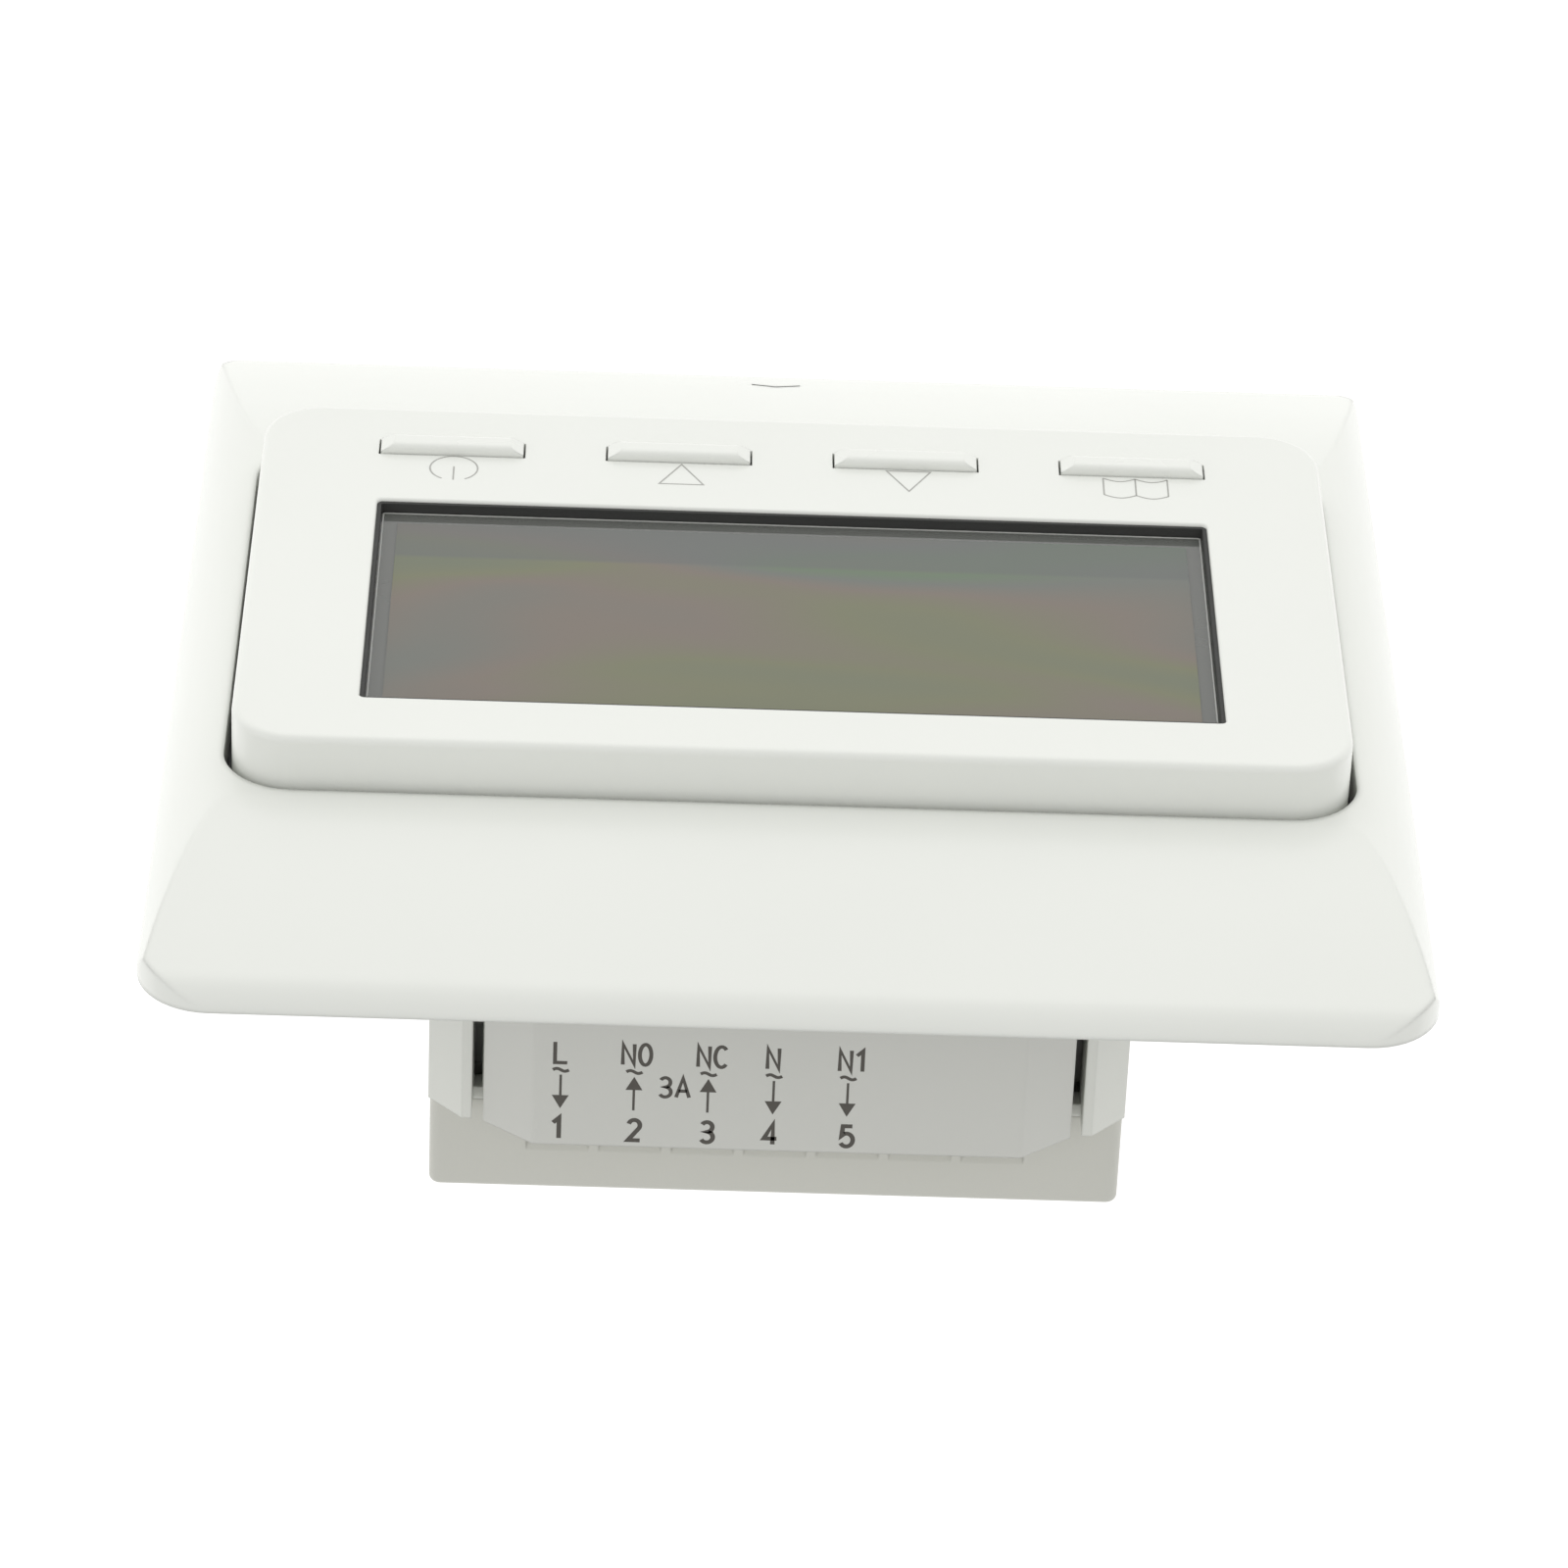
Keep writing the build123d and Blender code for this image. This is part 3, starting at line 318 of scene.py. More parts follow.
def add_strip(bm, points, width, place, closed=False):
    """Adds a thin closed solid along a line of points to bm; place(u, v, w) gives the point in space."""
    points = [Vector(p) for p in points]
    left, right = strip_points(points, width, closed)
    rings = []
    for a, b in zip(left, right):
        rings.append([bm.verts.new(place(p.x, p.y, w)) for p, w in
                      ((a, -INK / 2), (b, -INK / 2), (b, INK / 2), (a, INK / 2))])
    spans = len(rings) if closed else len(rings) - 1
    for i in range(spans):
        one, two = rings[i], rings[(i + 1) % len(rings)]
        for k in range(4):
            bm.faces.new((one[k], one[(k + 1) % 4], two[(k + 1) % 4], two[k]))
    if not closed:
        bm.faces.new(rings[0][::-1])
        bm.faces.new(rings[-1])


def add_patch(bm, points, place):
    """Adds a thin closed solid with a polygon outline."""
    low = [bm.verts.new(place(u, v, -INK / 2)) for u, v in points]
    high = [bm.verts.new(place(u, v, INK / 2)) for u, v in points]
    bm.faces.new(low[::-1])
    bm.faces.new(high)
    for i in range(len(points)):
        k = (i + 1) % len(points)
        bm.faces.new((low[i], low[k], high[k], high[i]))


def arc(centre, radius_u, radius_v, start, stop, steps=18):
    """Points along an ellipse, angles in degrees from +u towards +v."""
    angles = [math.radians(start + (stop - start) * i / steps) for i in range(steps + 1)]
    return [(centre[0] + radius_u * math.cos(a), centre[1] + radius_v * math.sin(a)) for a in angles]


# every character is a few strokes in a box one unit high
STROKES = {
    "L": (0.50, [[(0, 1), (0, 0), (0.5, 0)]]),
    "N": (0.46, [[(0, 0), (0, 1), (0.46, 0), (0.46, 1)]]),
    "O": (0.46, [arc((0.23, 0.5), 0.23, 0.5, 90, 450, 28)]),
    "C": (0.50, [arc((0.26, 0.5), 0.26, 0.5, 45, 315, 24)]),
    "A": (0.56, [[(0, 0), (0.28, 1), (0.56, 0)], [(0.1, 0.33), (0.46, 0.33)]]),
    "1": (0.30, [[(0.0, 0.76), (0.24, 1), (0.24, 0)]]),
    "2": (0.48, [arc((0.24, 0.74), 0.23, 0.26, 165, -35, 14) + [(0.0, 0), (0.48, 0)]]),
    "3": (0.48, [arc((0.22, 0.76), 0.22, 0.24, 150, -90, 14)
                 + arc((0.22, 0.26), 0.25, 0.26, 90, -150, 16)[1:]]),
    "4": (0.52, [[(0.52, 0.28), (0, 0.28), (0.36, 1), (0.36, 0)]]),
    "5": (0.48, [[(0.44, 1), (0.06, 1), (0.02, 0.52)] + arc((0.22, 0.32), 0.26, 0.32, 110, -150, 18)]),
}
COVER_TOP_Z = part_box("terminal_cover")[1].z / MM


def on_terminal_cover(u, v, w):
    """u runs to the left along -X, v towards the room, w out of the cover's top."""
    return Vector((-u, -v, COVER_TOP_Z + w)) * MM


def add_word(bm, text, centre_u, base_v, height, weight, place, gap=0.22):
    """Adds the strokes of a short text, centred on centre_u with its foot on base_v."""
    total = sum(STROKES[c][0] for c in text) * height + gap * height * (len(text) - 1)
    u = centre_u - total / 2
    for c in text:
        width, strokes = STROKES[c]
        for line in strokes:
            points = [(u + a * height, base_v + b * height) for a, b in line]
            closed = math.dist(points[0], points[-1]) < 1e-6
            add_strip(bm, points[:-1] if closed else points, weight, place, closed)
        u += (width + gap) * height


LETTER_FOOT = -15.35     # distances from the wall surface, towards the room positive
TILDE_MID = -15.95
ARROW_NEAR = -16.35
ARROW_FAR = -19.15
DIGIT_FOOT = -21.65
RATING_FOOT = -17.95
RATING_MID = -7.2
LETTER_HEIGHT = 1.7
RATING_HEIGHT = 1.6
LETTER_LINE = 0.27       # widths of the printed lines
DIGIT_LINE = 0.32
RATING_LINE = 0.26
WAVE_LINE = 0.24
SHAFT_LINE = 0.17
WAVE_HALF = 0.55
WAVE_RISE = 0.11
HEAD_LENGTH = 1.1
HEAD_HALF = 0.58
# letters, number, then the middles of letters, arrow and number, and whether the arrow points outwards
legend = [("L", "1", -15.05, -15.05, -15.25, False),
          ("NO", "2", -9.85, -10.0, -9.9, True),
          ("NC", "3", -4.65, -4.9, -4.85, True),
          ("N", "4", -0.5, -0.4, -0.5, False),
          ("N1", "5", 4.9, 4.7, 4.8, False)]

ink_bm = bmesh.new()
for letters, number, letters_u, u, number_u, towards_room in legend:
    add_word(ink_bm, letters, letters_u, LETTER_FOOT, LETTER_HEIGHT, LETTER_LINE, on_terminal_cover)
    add_word(ink_bm, number, number_u, DIGIT_FOOT, LETTER_HEIGHT, DIGIT_LINE, on_terminal_cover)
    wave = [(u - WAVE_HALF + 2 * WAVE_HALF * t / 12, TILDE_MID + WAVE_RISE * math.sin(math.tau * t / 12))
            for t in range(13)]
    add_strip(ink_bm, wave, WAVE_LINE, on_terminal_cover)
    tip, tail = (ARROW_NEAR, ARROW_FAR) if towards_room else (ARROW_FAR, ARROW_NEAR)
    head = tip + math.copysign(HEAD_LENGTH, tail - tip)
    add_strip(ink_bm, [(u, tail), (u, head)], SHAFT_LINE, on_terminal_cover)
    outline = [(u, tip), (u - HEAD_HALF, head), (u + HEAD_HALF, head)]
    add_patch(ink_bm, outline if towards_room else outline[::-1], on_terminal_cover)
add_word(ink_bm, "3A", RATING_MID, RATING_FOOT, RATING_HEIGHT, RATING_LINE, on_terminal_cover)
bmesh.ops.recalc_face_normals(ink_bm, faces=ink_bm.faces)
terminal_markings = to_object(ink_bm, "terminal_markings")


def ink(name, colour):
    """Printed ink, slightly uneven in tone and matt."""
    made = bpy.data.materials.new(name)
    made.use_nodes = True
    tree = made.node_tree
    shader = tree.nodes["Principled BSDF"]
    here = tree.nodes.new("ShaderNodeTexCoord").outputs["Object"]
    speckle = noise(tree, here, 2600.0, 3.0)
    paler = tuple(min(1.0, c * 1.35) for c in colour)
    tree.links.new(blend_colour(tree, speckle.outputs["Fac"], (*colour, 1), (*paler, 1)),
                   shader.inputs["Base Color"])
    tree.links.new(spread(tree, speckle.outputs["Fac"], 0.5, 0.7), shader.inputs["Roughness"])
    return made


terminal_markings.data.materials.append(ink("marking_ink", (0.075, 0.069, 0.060)))
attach(terminal_markings, "terminal_cover_body")

# --- terminals ------------------------------------------------------------------------------------
# A glass-filled polyamide block with seven rising clamps in plated brass. Their steel screws face
# upwards under the terminal cover, and their pins are soldered into the power board.


def build_plated():
    """Group: rolled and plated sheet, with drawn scratches along one direction and dull patches."""
    tree, start, end = socketed_group(
        "plated_sheet",
        [("Colour", "NodeSocketColor", (0.6, 0.6, 0.6, 1)),
         ("Dull", "NodeSocketColor", (0.5, 0.5, 0.5, 1)),
         ("Roughness", "NodeSocketFloat", 0.3),
         ("Scratches", "NodeSocketFloat", 0.3)],
        [("Colour", "NodeSocketColor"), ("Roughness", "NodeSocketFloat"), ("Normal", "NodeSocketVector")])
    here = tree.nodes.new("ShaderNodeTexCoord").outputs["Object"]
    stretched = tree.nodes.new("ShaderNodeMapping")
    stretched.inputs["Scale"].default_value = (60.0, 900.0, 4000.0)
    tree.links.new(here, stretched.inputs["Vector"])
    drawn = noise(tree, stretched.outputs["Vector"], 1.0, 4.0)
    patches = noise(tree, here, 90.0, 5.0, 0.4)
    tone = blend_colour(tree, patches.outputs["Fac"], start.outputs["Colour"], start.outputs["Dull"])
    tree.links.new(tone, end.inputs["Colour"])
    unevenness = spread(tree, patches.outputs["Fac"], 0.7, 1.35)
    tree.links.new(product(tree, start.outputs["Roughness"], unevenness), end.inputs["Roughness"])
    bevel = tree.nodes.new("ShaderNodeBevel")
    bevel.samples = 4
    bevel.inputs["Radius"].default_value = 0.0001
    bump = tree.nodes.new("ShaderNodeBump")
    bump.inputs["Distance"].default_value = 0.00002
    tree.links.new(start.outputs["Scratches"], bump.inputs["Strength"])
    tree.links.new(drawn.outputs["Fac"], bump.inputs["Height"])
    tree.links.new(bevel.outputs["Normal"], bump.inputs["Normal"])
    tree.links.new(bump.outputs["Normal"], end.inputs["Normal"])
    return tree


plated_sheet = build_plated()


def metal(name, colour, dull, roughness, scratches=0.3):
    """Plated or bare metal with its own scratches and dull patches."""
    made = bpy.data.materials.new(name)
    made.use_nodes = True
    tree = made.node_tree
    shader = tree.nodes["Principled BSDF"]
    shader.inputs["Metallic"].default_value = 1.0
    skin = tree.nodes.new("ShaderNodeGroup")
    skin.node_tree = plated_sheet
    skin.inputs["Colour"].default_value = (*colour, 1)
    skin.inputs["Dull"].default_value = (*dull, 1)
    skin.inputs["Roughness"].default_value = roughness
    skin.inputs["Scratches"].default_value = scratches
    tree.links.new(skin.outputs["Colour"], shader.inputs["Base Color"])
    tree.links.new(skin.outputs["Roughness"], shader.inputs["Roughness"])
    tree.links.new(skin.outputs["Normal"], shader.inputs["Normal"])
    return made


block_polyamide = plastic("block_polyamide", (0.22, 0.24, 0.25), 0.55,
                          grain=0.35, grain_scale=3600.0, edge=0.2)
wear("terminal_block", block_polyamide)
brass = metal("plated_brass", (0.80, 0.67, 0.38), (0.62, 0.50, 0.27), 0.26, 0.2)
for name in ("terminal_clamps", "terminal_pins", "header_pins"):
    wear(name, brass)
screw_steel = metal("screw_steel", (0.66, 0.66, 0.64), (0.48, 0.48, 0.46), 0.28, 0.25)
for name in ("terminal_screws", "housing_screws", "rear_cover_screws", "module_screws"):
    wear(name, screw_steel)

# --- boards ---------------------------------------------------------------------------------------
# Glass-epoxy boards with green lacquer over etched copper. The power board carries the mains parts
# and faces the rear; the control board lies right behind the display.


def circuit_board(name, lacquer, copper_tint):
    """Lacquered board: a rectangular maze of raised copper tracks under the green."""
    made = bpy.data.materials.new(name)
    made.use_nodes = True
    tree = made.node_tree
    shader = tree.nodes["Principled BSDF"]
    here = tree.nodes.new("ShaderNodeTexCoord").outputs["Object"]
    tracks = tree.nodes.new("ShaderNodeTexBrick")
    tracks.offset = 0.37
    tracks.inputs["Scale"].default_value = 190.0
    tracks.inputs["Mortar Size"].default_value = 0.045
    tracks.inputs["Brick Width"].default_value = 0.9
    tracks.inputs["Row Height"].default_value = 0.32
    turned = tree.nodes.new("ShaderNodeMapping")
    turned.inputs["Rotation"].default_value = (math.pi / 2, 0, 0)
    tree.links.new(here, turned.inputs["Vector"])
    tree.links.new(turned.outputs["Vector"], tracks.inputs["Vector"])
    tree.links.new(blend_colour(tree, tracks.outputs["Fac"], (*lacquer, 1), (*copper_tint, 1)),
                   shader.inputs["Base Color"])
    bump = tree.nodes.new("ShaderNodeBump")
    bump.inputs["Distance"].default_value = 0.00004
    bump.inputs["Strength"].default_value = 0.5
    tree.links.new(tracks.outputs["Fac"], bump.inputs["Height"])
    tree.links.new(bump.outputs["Normal"], shader.inputs["Normal"])
    haze = noise(tree, here, 150.0, 3.0)
    tree.links.new(spread(tree, haze.outputs["Fac"], 0.22, 0.38), shader.inputs["Roughness"])
    return made


lacquered = circuit_board("lacquered_board", (0.020, 0.140, 0.060), (0.045, 0.230, 0.100))
wear("power_board", lacquered)
wear("control_board", lacquered)

# --- solder joints --------------------------------------------------------------------------------
# On the side of the power board that faces the room, every lead ends in a bright domed joint. They
# come into view when the display module is pulled off.
board_front_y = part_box("power_board")[0].y
pin_low, pin_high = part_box("terminal_pins")
relay_low, relay_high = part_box("relay")
TERMINAL_COUNT = 7
RELAY_LEAD_INSET = 3.0 * MM      # from the relay's sides to its leads
SOLDER_SIDES = 16
# height above the board and radius, from the foot of a joint to its tip
SOLDER_PROFILE = ((0.0, 1.05), (0.25, 0.85), (0.6, 0.55), (1.0, 0.40), (1.15, 0.30))
pin_radius = (pin_high.z - pin_low.z) / 2
pin_step = (pin_high.x - pin_low.x - 2 * pin_radius) / (TERMINAL_COUNT - 1)
joint_places = [(pin_low.x + pin_radius + pin_step * i, (pin_low.z + pin_high.z) / 2)
                for i in range(TERMINAL_COUNT)]
joint_places += [(x, z) for x in (relay_low.x + RELAY_LEAD_INSET, relay_high.x - RELAY_LEAD_INSET)
                 for z in (relay_low.z + RELAY_LEAD_INSET, relay_high.z - RELAY_LEAD_INSET)]
solder_bm = bmesh.new()
for x, z in joint_places:
    rings = []
    for height, radius in SOLDER_PROFILE:
        rings.append([solder_bm.verts.new((x + radius * MM * math.cos(a), board_front_y - height * MM,
                                           z + radius * MM * math.sin(a)))
                      for a in (math.tau * k / SOLDER_SIDES for k in range(SOLDER_SIDES))])
    for one, two in zip(rings, rings[1:]):
        for k in range(SOLDER_SIDES):
            after = (k + 1) % SOLDER_SIDES
            solder_bm.faces.new((one[k], one[after], two[after], two[k]))
    solder_bm.faces.new(rings[0][::-1])
    solder_bm.faces.new(rings[-1])
bmesh.ops.recalc_face_normals(solder_bm, faces=solder_bm.faces)
for face in solder_bm.faces:
    face.smooth = True
solder_joints = to_object(solder_bm, "solder_joints")
solder_joints.data.materials.append(metal("solder", (0.70, 0.71, 0.72), (0.55, 0.56, 0.57), 0.22, 0.1))
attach(solder_joints, "wall_unit")

# --- parts on the power board ---------------------------------------------------------------------
# A sealed relay, a film capacitor and a resistor that drop the mains, a sleeved electrolytic, a
# varistor dipped in epoxy, a moulded fuse and three diodes, all pushed through and soldered.
wear("relay", plastic("relay_case", (0.020, 0.021, 0.024), 0.32, grain=0.12, edge=0.3))
wear("dropper_capacitor", plastic("film_capacitor", (0.42, 0.43, 0.42), 0.35, grain=0.15, edge=0.3))
wear("smoothing_capacitor", plastic("capacitor_sleeve", (0.020, 0.026, 0.070), 0.22, grain=0.05, edge=0.3))
wear("varistor", plastic("dipped_epoxy", (0.020, 0.075, 0.300), 0.25, grain=0.3, grain_scale=700.0))
wear("board_fuse", plastic("fuse_case", (0.070, 0.028, 0.016), 0.35, edge=0.2))
wear("rectifier_diodes", plastic("diode_case", (0.018, 0.018, 0.019), 0.4))
wear("dropper_resistor", plastic("resistor_enamel", (0.42, 0.33, 0.20), 0.5, grain=0.4, grain_scale=1500.0))
wear("header_socket", plastic("socket_case", (0.016, 0.016, 0.017), 0.45))

# --- display module: cover ------------------------------------------------------------------------
# A glossy white ABS shell that stands proud of the surround. It carries the window, four key openings
# and four screw bosses, and the back plate closes it from behind.
cover_abs = plastic("cover_abs", FRONT_WHITE, 0.24, grain=0.06, grain_scale=900.0, edge=0.1, coat=0.25)
back_plate_abs = plastic("back_plate_abs", (0.690, 0.695, 0.665), 0.5,
                         grain=0.28, grain_scale=5200.0, edge=0.25)
wear("front_cover", cover_abs)
wear("module_back", back_plate_abs)

# --- key symbols ----------------------------------------------------------------------------------
# Thin grey outlines printed on the cover above each key bar: an open book, two triangles and a power
# sign.
FACE_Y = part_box("front_cover")[0].y / MM
SYMBOL_LINE = 0.115
SYMBOL_Z = -14.35
SYMBOL_SHIFT = -0.2      # the print sits a little to the left of the keys
RING_RADIUS = 1.7
TRIANGLE_HALF = 1.58
TRIANGLE_RISE = 1.42
BOOK_HALF = 2.3
BOOK_LOW = SYMBOL_Z - 1.35
BOOK_HIGH = SYMBOL_Z + 1.0
PAGE_BOW = 0.42
key_middle = {}
for name in ("menu_key", "up_key", "down_key", "power_key"):
    low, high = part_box(name)
    key_middle[name] = (low.x + high.x) / 2 / MM + SYMBOL_SHIFT


def on_cover(u, v, w):
    """u along +X, v along +Z, w out of the cover's face."""
    return Vector((u, FACE_Y - w, v)) * MM


symbol_bm = bmesh.new()
x = key_middle["power_key"]
ring = arc((x, SYMBOL_Z + 0.15), RING_RADIUS, RING_RADIUS, 119, 421, 44)
add_strip(symbol_bm, ring, SYMBOL_LINE, on_cover)
add_strip(symbol_bm, [(x, SYMBOL_Z - 0.1), (x, SYMBOL_Z + 1.8)], SYMBOL_LINE, on_cover)
for name, side in (("down_key", -1), ("up_key", 1)):
    x = key_middle[name]
    triangle = [(x - TRIANGLE_HALF, SYMBOL_Z - side * TRIANGLE_RISE),
                (x + TRIANGLE_HALF, SYMBOL_Z - side * TRIANGLE_RISE),
                (x, SYMBOL_Z + side * TRIANGLE_RISE)]
    add_strip(symbol_bm, triangle, SYMBOL_LINE, on_cover, closed=True)
x = key_middle["menu_key"]
for side in (-1, 1):
    for level in (BOOK_LOW, BOOK_HIGH):
        page = [(x + side * BOOK_HALF * t / 10, level + PAGE_BOW * math.sin(math.pi * t / 10))
                for t in range(11)]
        add_strip(symbol_bm, page, SYMBOL_LINE, on_cover)
    add_strip(symbol_bm, [(x + side * BOOK_HALF, BOOK_LOW), (x + side * BOOK_HALF, BOOK_HIGH)],
              SYMBOL_LINE, on_cover)
add_strip(symbol_bm, [(x, BOOK_LOW), (x, BOOK_HIGH)], SYMBOL_LINE, on_cover)
bmesh.ops.recalc_face_normals(symbol_bm, faces=symbol_bm.faces)
key_symbols = to_object(symbol_bm, "key_symbols")
key_symbols.data.materials.append(ink("symbol_ink", (0.36, 0.36, 0.34)))
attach(key_symbols, "display_module")

# --- keys -----------------------------------------------------------------------------------------
# Four bars in the cover's own ABS, bevelled down to their ends. A flange behind the cover keeps each
# one in, and its stem bears on the plunger of a tact switch.
key_abs = plastic("key_abs", FRONT_WHITE, 0.26, grain=0.10, grain_scale=900.0, edge=0.22, coat=0.2)
plunger_nylon = plastic("plunger_nylon", (0.72, 0.72, 0.68), 0.45)
for stem in ("menu", "up", "down", "power"):
    wear(stem + "_key", key_abs)
    wear(stem + "_switch_plunger", plunger_nylon)
wear("tact_switches", plastic("switch_case", (0.020, 0.020, 0.021), 0.45))

# --- window seal ----------------------------------------------------------------------------------
# A dark foam rubber strip round the inside of the window that seals the glass to the cover. Its dark colour
# paints the shade in the window's recess, which gives the window a deep look and a dark rim.
SEAL = 0.28
SEAL_TOP = -0.22         # below the cover's face
SEAL_CORNER = 0.4
glass_low, glass_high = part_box("lcd_front_glass")
WINDOW_HALF_W = 29.4
WINDOW_HALF_H = 13.4
WINDOW_MID_Z = (glass_low.z + glass_high.z) / 2 / MM


def rounded_frame(bm, half_u, half_v, radius, mid_v, levels, inset, place, segments=5):
    """Ring of constant section round a rectangle: outer edge, top, inner edge and underside."""
    def outline(shrink):
        r = max(0.05, radius - shrink)
        points = []
        for index, (su, sv) in enumerate(((1, 1), (-1, 1), (-1, -1), (1, -1))):
            centre = (su * (half_u - shrink - r), mid_v + sv * (half_v - shrink - r))
            points += arc(centre, r, r, 90 * index, 90 * index + 90, segments)
        return points
    outer, inner = outline(0.0), outline(inset)
    low, high = levels
    loops = [[bm.verts.new(place(u, v, w)) for u, v in line]
             for line, w in ((outer, low), (outer, high), (inner, high), (inner, low))]
    count = len(outer)
    for k in range(4):
        one, two = loops[k], loops[(k + 1) % 4]
        for i in range(count):
            bm.faces.new((one[i], one[(i + 1) % count], two[(i + 1) % count], two[i]))


GLASS_DEPTH = (glass_low.y / MM) - FACE_Y     # cover face to the bare glass
seal_bm = bmesh.new()
rounded_frame(seal_bm, WINDOW_HALF_W - 0.01, WINDOW_HALF_H - 0.01, SEAL_CORNER, WINDOW_MID_Z,
              (-GLASS_DEPTH, SEAL_TOP), SEAL, on_cover)
bmesh.ops.recalc_face_normals(seal_bm, faces=seal_bm.faces)
shading_window_seal = to_object(seal_bm, "shading_window_seal")
shading_window_seal.data.materials.append(
    plastic("seal_shade_rubber", (0.045, 0.046, 0.044), 0.75, grain=0.8, grain_scale=4200.0, edge=0.05))
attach(shading_window_seal, "display_module")

# --- ground edge of the glass and its painted highlight -------------------------------------------
# The front glass is cut from a larger sheet and its rim is ground, not polished. A pale ring just inside the
# seal stands for the ground rim and paints the bright hairline where its chamfer catches the light.
RIM = 0.10
RIM_CORNER = 0.2
RIM_INSET = SEAL + 0.12  # from the window's edge to the rim
rim_bm = bmesh.new()
rounded_frame(rim_bm, WINDOW_HALF_W - RIM_INSET, WINDOW_HALF_H - RIM_INSET, RIM_CORNER, WINDOW_MID_Z,
              (-GLASS_DEPTH - 0.01, -GLASS_DEPTH + 0.05), RIM, on_cover)
bmesh.ops.recalc_face_normals(rim_bm, faces=rim_bm.faces)
glass_rim_highlight = to_object(rim_bm, "glass_rim_highlight")
ground_glass_highlight = plastic("ground_glass_highlight", (0.62, 0.63, 0.60), 0.35, grain=0.3, grain_scale=6000.0)
glass_rim_highlight.data.materials.append(ground_glass_highlight)
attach(glass_rim_highlight, "display_module")

# --- liquid crystal display -----------------------------------------------------------------------
# Two glasses with the crystal between them, a grey-green polarising film on the front one, and a
# frosted acrylic guide behind that two small lamps feed. Unpowered, it shows only faint bands of colour.
film_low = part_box("lcd_polariser")[0]
DARK_EDGE = 4.2 * MM     # height of the film's darker lower strip
DARK_FADE = 0.6 * MM


def film_material():
    """Polarising film: grey green, darker towards its lower edge, with weak slanted bands of colour."""
    made = bpy.data.materials.new("polarising_film")
    made.use_nodes = True
    tree = made.node_tree
    shader = tree.nodes["Principled BSDF"]
    here = tree.nodes.new("ShaderNodeTexCoord").outputs["Object"]
    slanted = tree.nodes.new("ShaderNodeMapping")
    slanted.inputs["Rotation"].default_value = (0, math.radians(-24), 0)
    slanted.inputs["Scale"].default_value = (16.0, 1.0, 62.0)
    tree.links.new(here, slanted.inputs["Vector"])
    bands = noise(tree, slanted.outputs["Vector"], 1.0, 1.5, 0.7)
    hues = tree.nodes.new("ShaderNodeValToRGB")
    ramp = hues.color_ramp
    ramp.elements[0].position = 0.30
    ramp.elements[0].color = (0.122, 0.146, 0.100, 1)
    ramp.elements[1].position = 0.72
    ramp.elements[1].color = (0.134, 0.152, 0.100, 1)
    for position, colour in ((0.42, (0.152, 0.158, 0.086, 1)), (0.50, (0.168, 0.138, 0.112, 1)),
                             (0.58, (0.130, 0.140, 0.124, 1)), (0.65, (0.110, 0.160, 0.098, 1))):
        ramp.elements.new(position).color = colour
    tree.links.new(bands.outputs["Fac"], hues.inputs["Fac"])
    parts = tree.nodes.new("ShaderNodeSeparateXYZ")
    tree.links.new(here, parts.inputs["Vector"])
    shade = tree.nodes.new("ShaderNodeMapRange")
    shade.interpolation_type = "SMOOTHSTEP"
    shade.inputs["From Min"].default_value = film_low.z + DARK_EDGE
    shade.inputs["From Max"].default_value = film_low.z + DARK_EDGE + DARK_FADE
    shade.inputs["To Min"].default_value = 0.62
    shade.inputs["To Max"].default_value = 0.0
    tree.links.new(parts.outputs["Z"], shade.inputs["Value"])
    tone = blend_colour(tree, shade.outputs["Result"], hues.outputs["Color"], (0.105, 0.112, 0.112, 1))
    tree.links.new(tone, shader.inputs["Base Color"])
    satin = noise(tree, here, 200.0, 2.0)
    tree.links.new(spread(tree, satin.outputs["Fac"], 0.10, 0.18), shader.inputs["Roughness"])
    return made


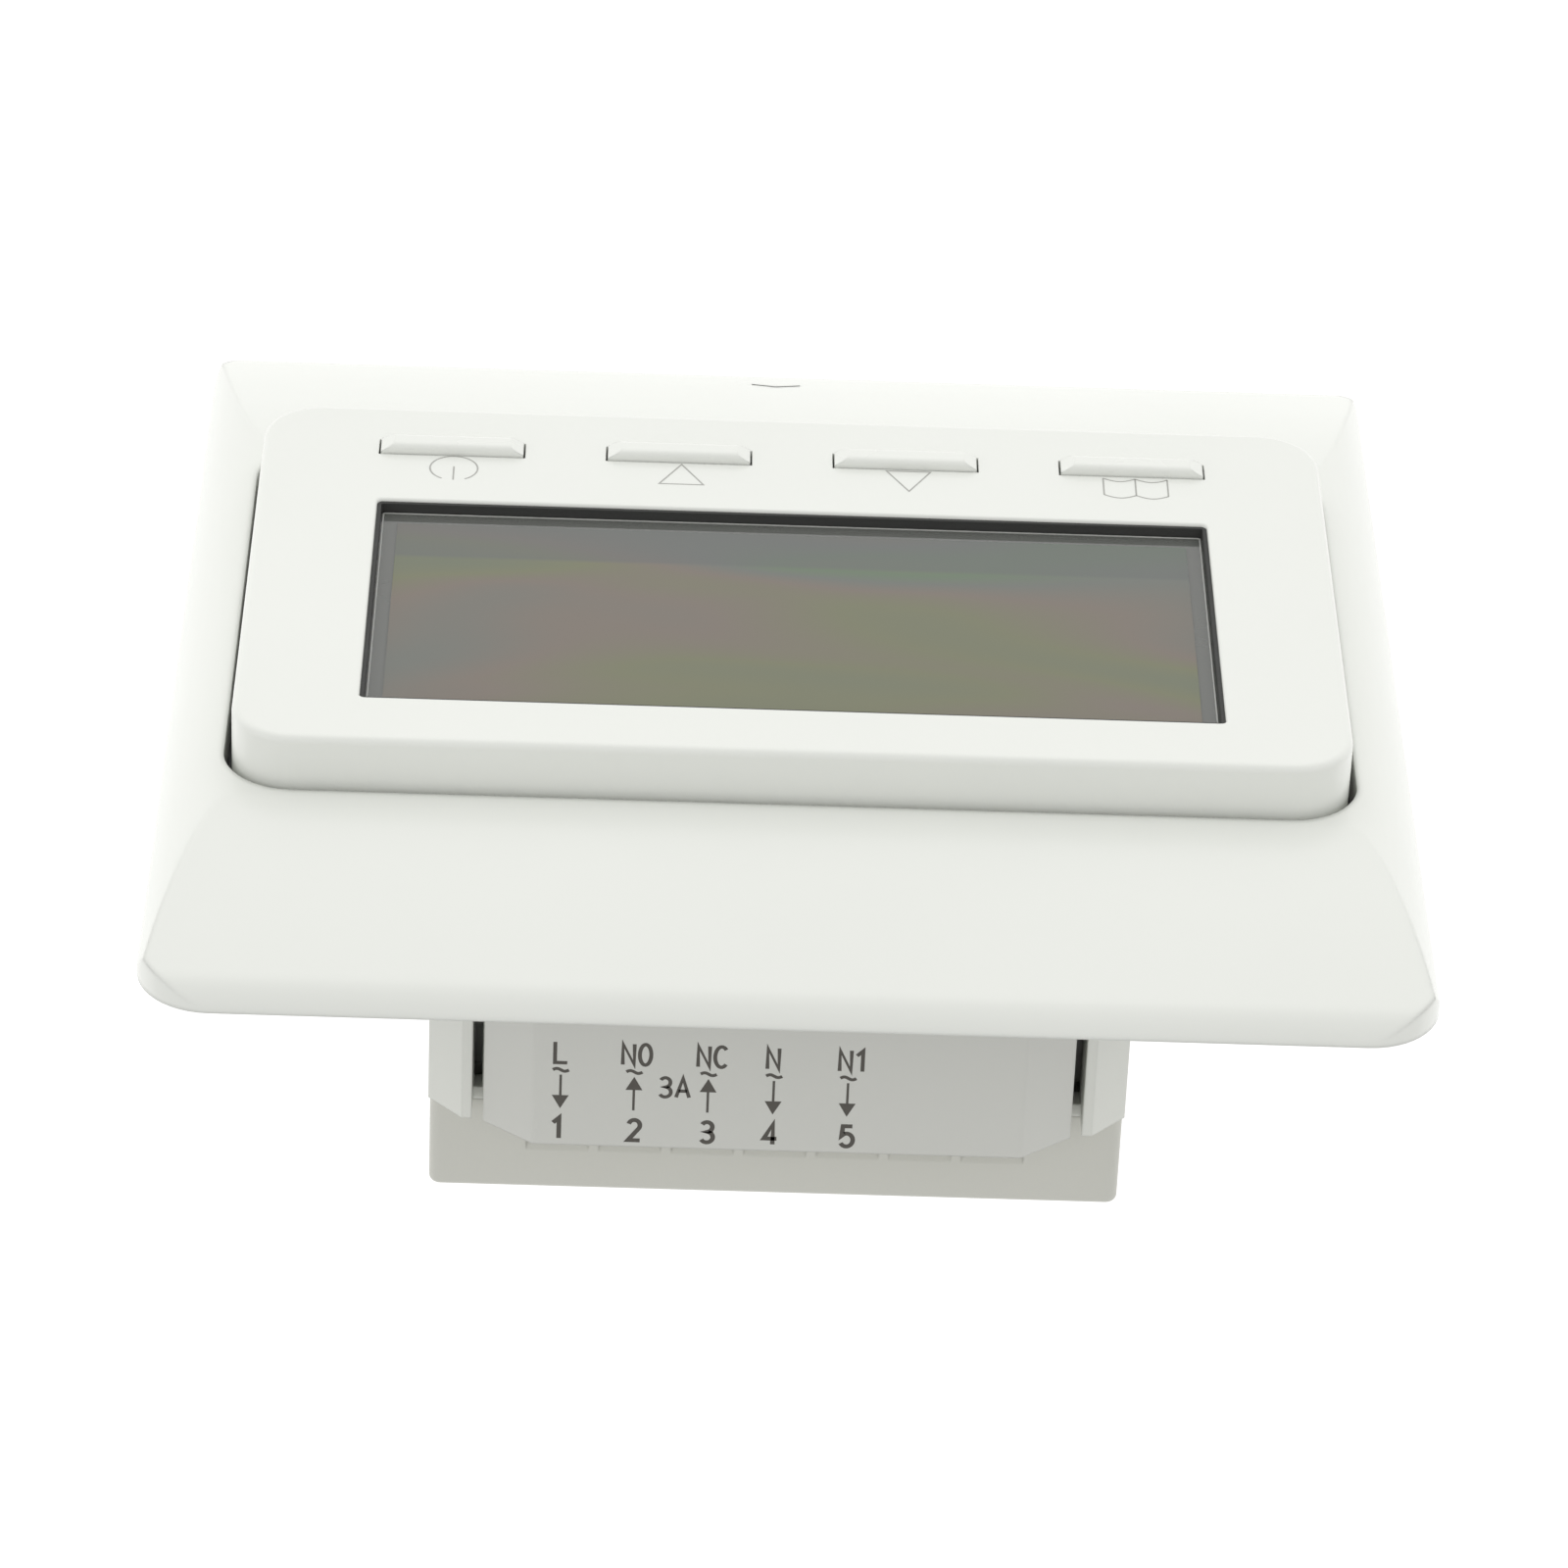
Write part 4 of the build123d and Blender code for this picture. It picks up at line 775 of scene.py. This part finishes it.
def glass_material(name, tint, roughness):
    """Clear glass with a faint unevenness in its polish."""
    made = bpy.data.materials.new(name)
    made.use_nodes = True
    tree = made.node_tree
    shader = tree.nodes["Principled BSDF"]
    shader.inputs["Transmission Weight"].default_value = 0.55
    shader.inputs["IOR"].default_value = 1.52
    here = tree.nodes.new("ShaderNodeTexCoord").outputs["Object"]
    polish = noise(tree, here, 300.0, 2.0)
    tree.links.new(blend_colour(tree, polish.outputs["Fac"], (*tint, 1), (*[t * 0.96 for t in tint], 1)),
                   shader.inputs["Base Color"])
    uneven = spread(tree, polish.outputs["Fac"], roughness, roughness + 0.03)
    tree.links.new(uneven, shader.inputs["Roughness"])
    return made


wear("lcd_polariser", film_material())
display_glass = glass_material("display_glass", (0.30, 0.31, 0.29), 0.03)
wear("lcd_front_glass", display_glass)
wear("lcd_rear_glass", display_glass)
wear("light_guide", plastic("frosted_acrylic", (0.50, 0.51, 0.48), 0.5, grain=0.3, grain_scale=4000.0))
wear("backlight_leds", plastic("lamp_resin", (0.80, 0.74, 0.38), 0.2))
wear("lcd_holder", plastic("holder_abs", (0.050, 0.052, 0.050), 0.6, grain=0.3, grain_scale=4200.0))


def layered_rubber():
    """Zebra strip: thin black conducting layers in pale silicone, across the strip."""
    made = bpy.data.materials.new("zebra_strip")
    made.use_nodes = True
    tree = made.node_tree
    shader = tree.nodes["Principled BSDF"]
    here = tree.nodes.new("ShaderNodeTexCoord").outputs["Object"]
    layers = tree.nodes.new("ShaderNodeTexWave")
    layers.inputs["Scale"].default_value = 900.0
    tree.links.new(here, layers.inputs["Vector"])
    tree.links.new(blend_colour(tree, layers.outputs["Fac"], (0.02, 0.02, 0.02, 1), (0.45, 0.28, 0.28, 1)),
                   shader.inputs["Base Color"])
    tree.links.new(spread(tree, layers.outputs["Fac"], 0.55, 0.75), shader.inputs["Roughness"])
    return made


wear("zebra_connector", layered_rubber())

# --- parts on the control board -------------------------------------------------------------------
# The processor, its clock crystal, a coin cell in its holder that keeps the time, and the header that
# plugs into the power board.
black_resin = plastic("black_resin", (0.020, 0.020, 0.021), 0.5, grain=0.4, grain_scale=5000.0)
for name in ("microcontroller", "cell_holder", "pin_header"):
    wear(name, black_resin)
can_steel = metal("can_steel", (0.70, 0.70, 0.68), (0.58, 0.58, 0.56), 0.22, 0.15)
wear("clock_crystal", can_steel)
wear("backup_cell", can_steel)
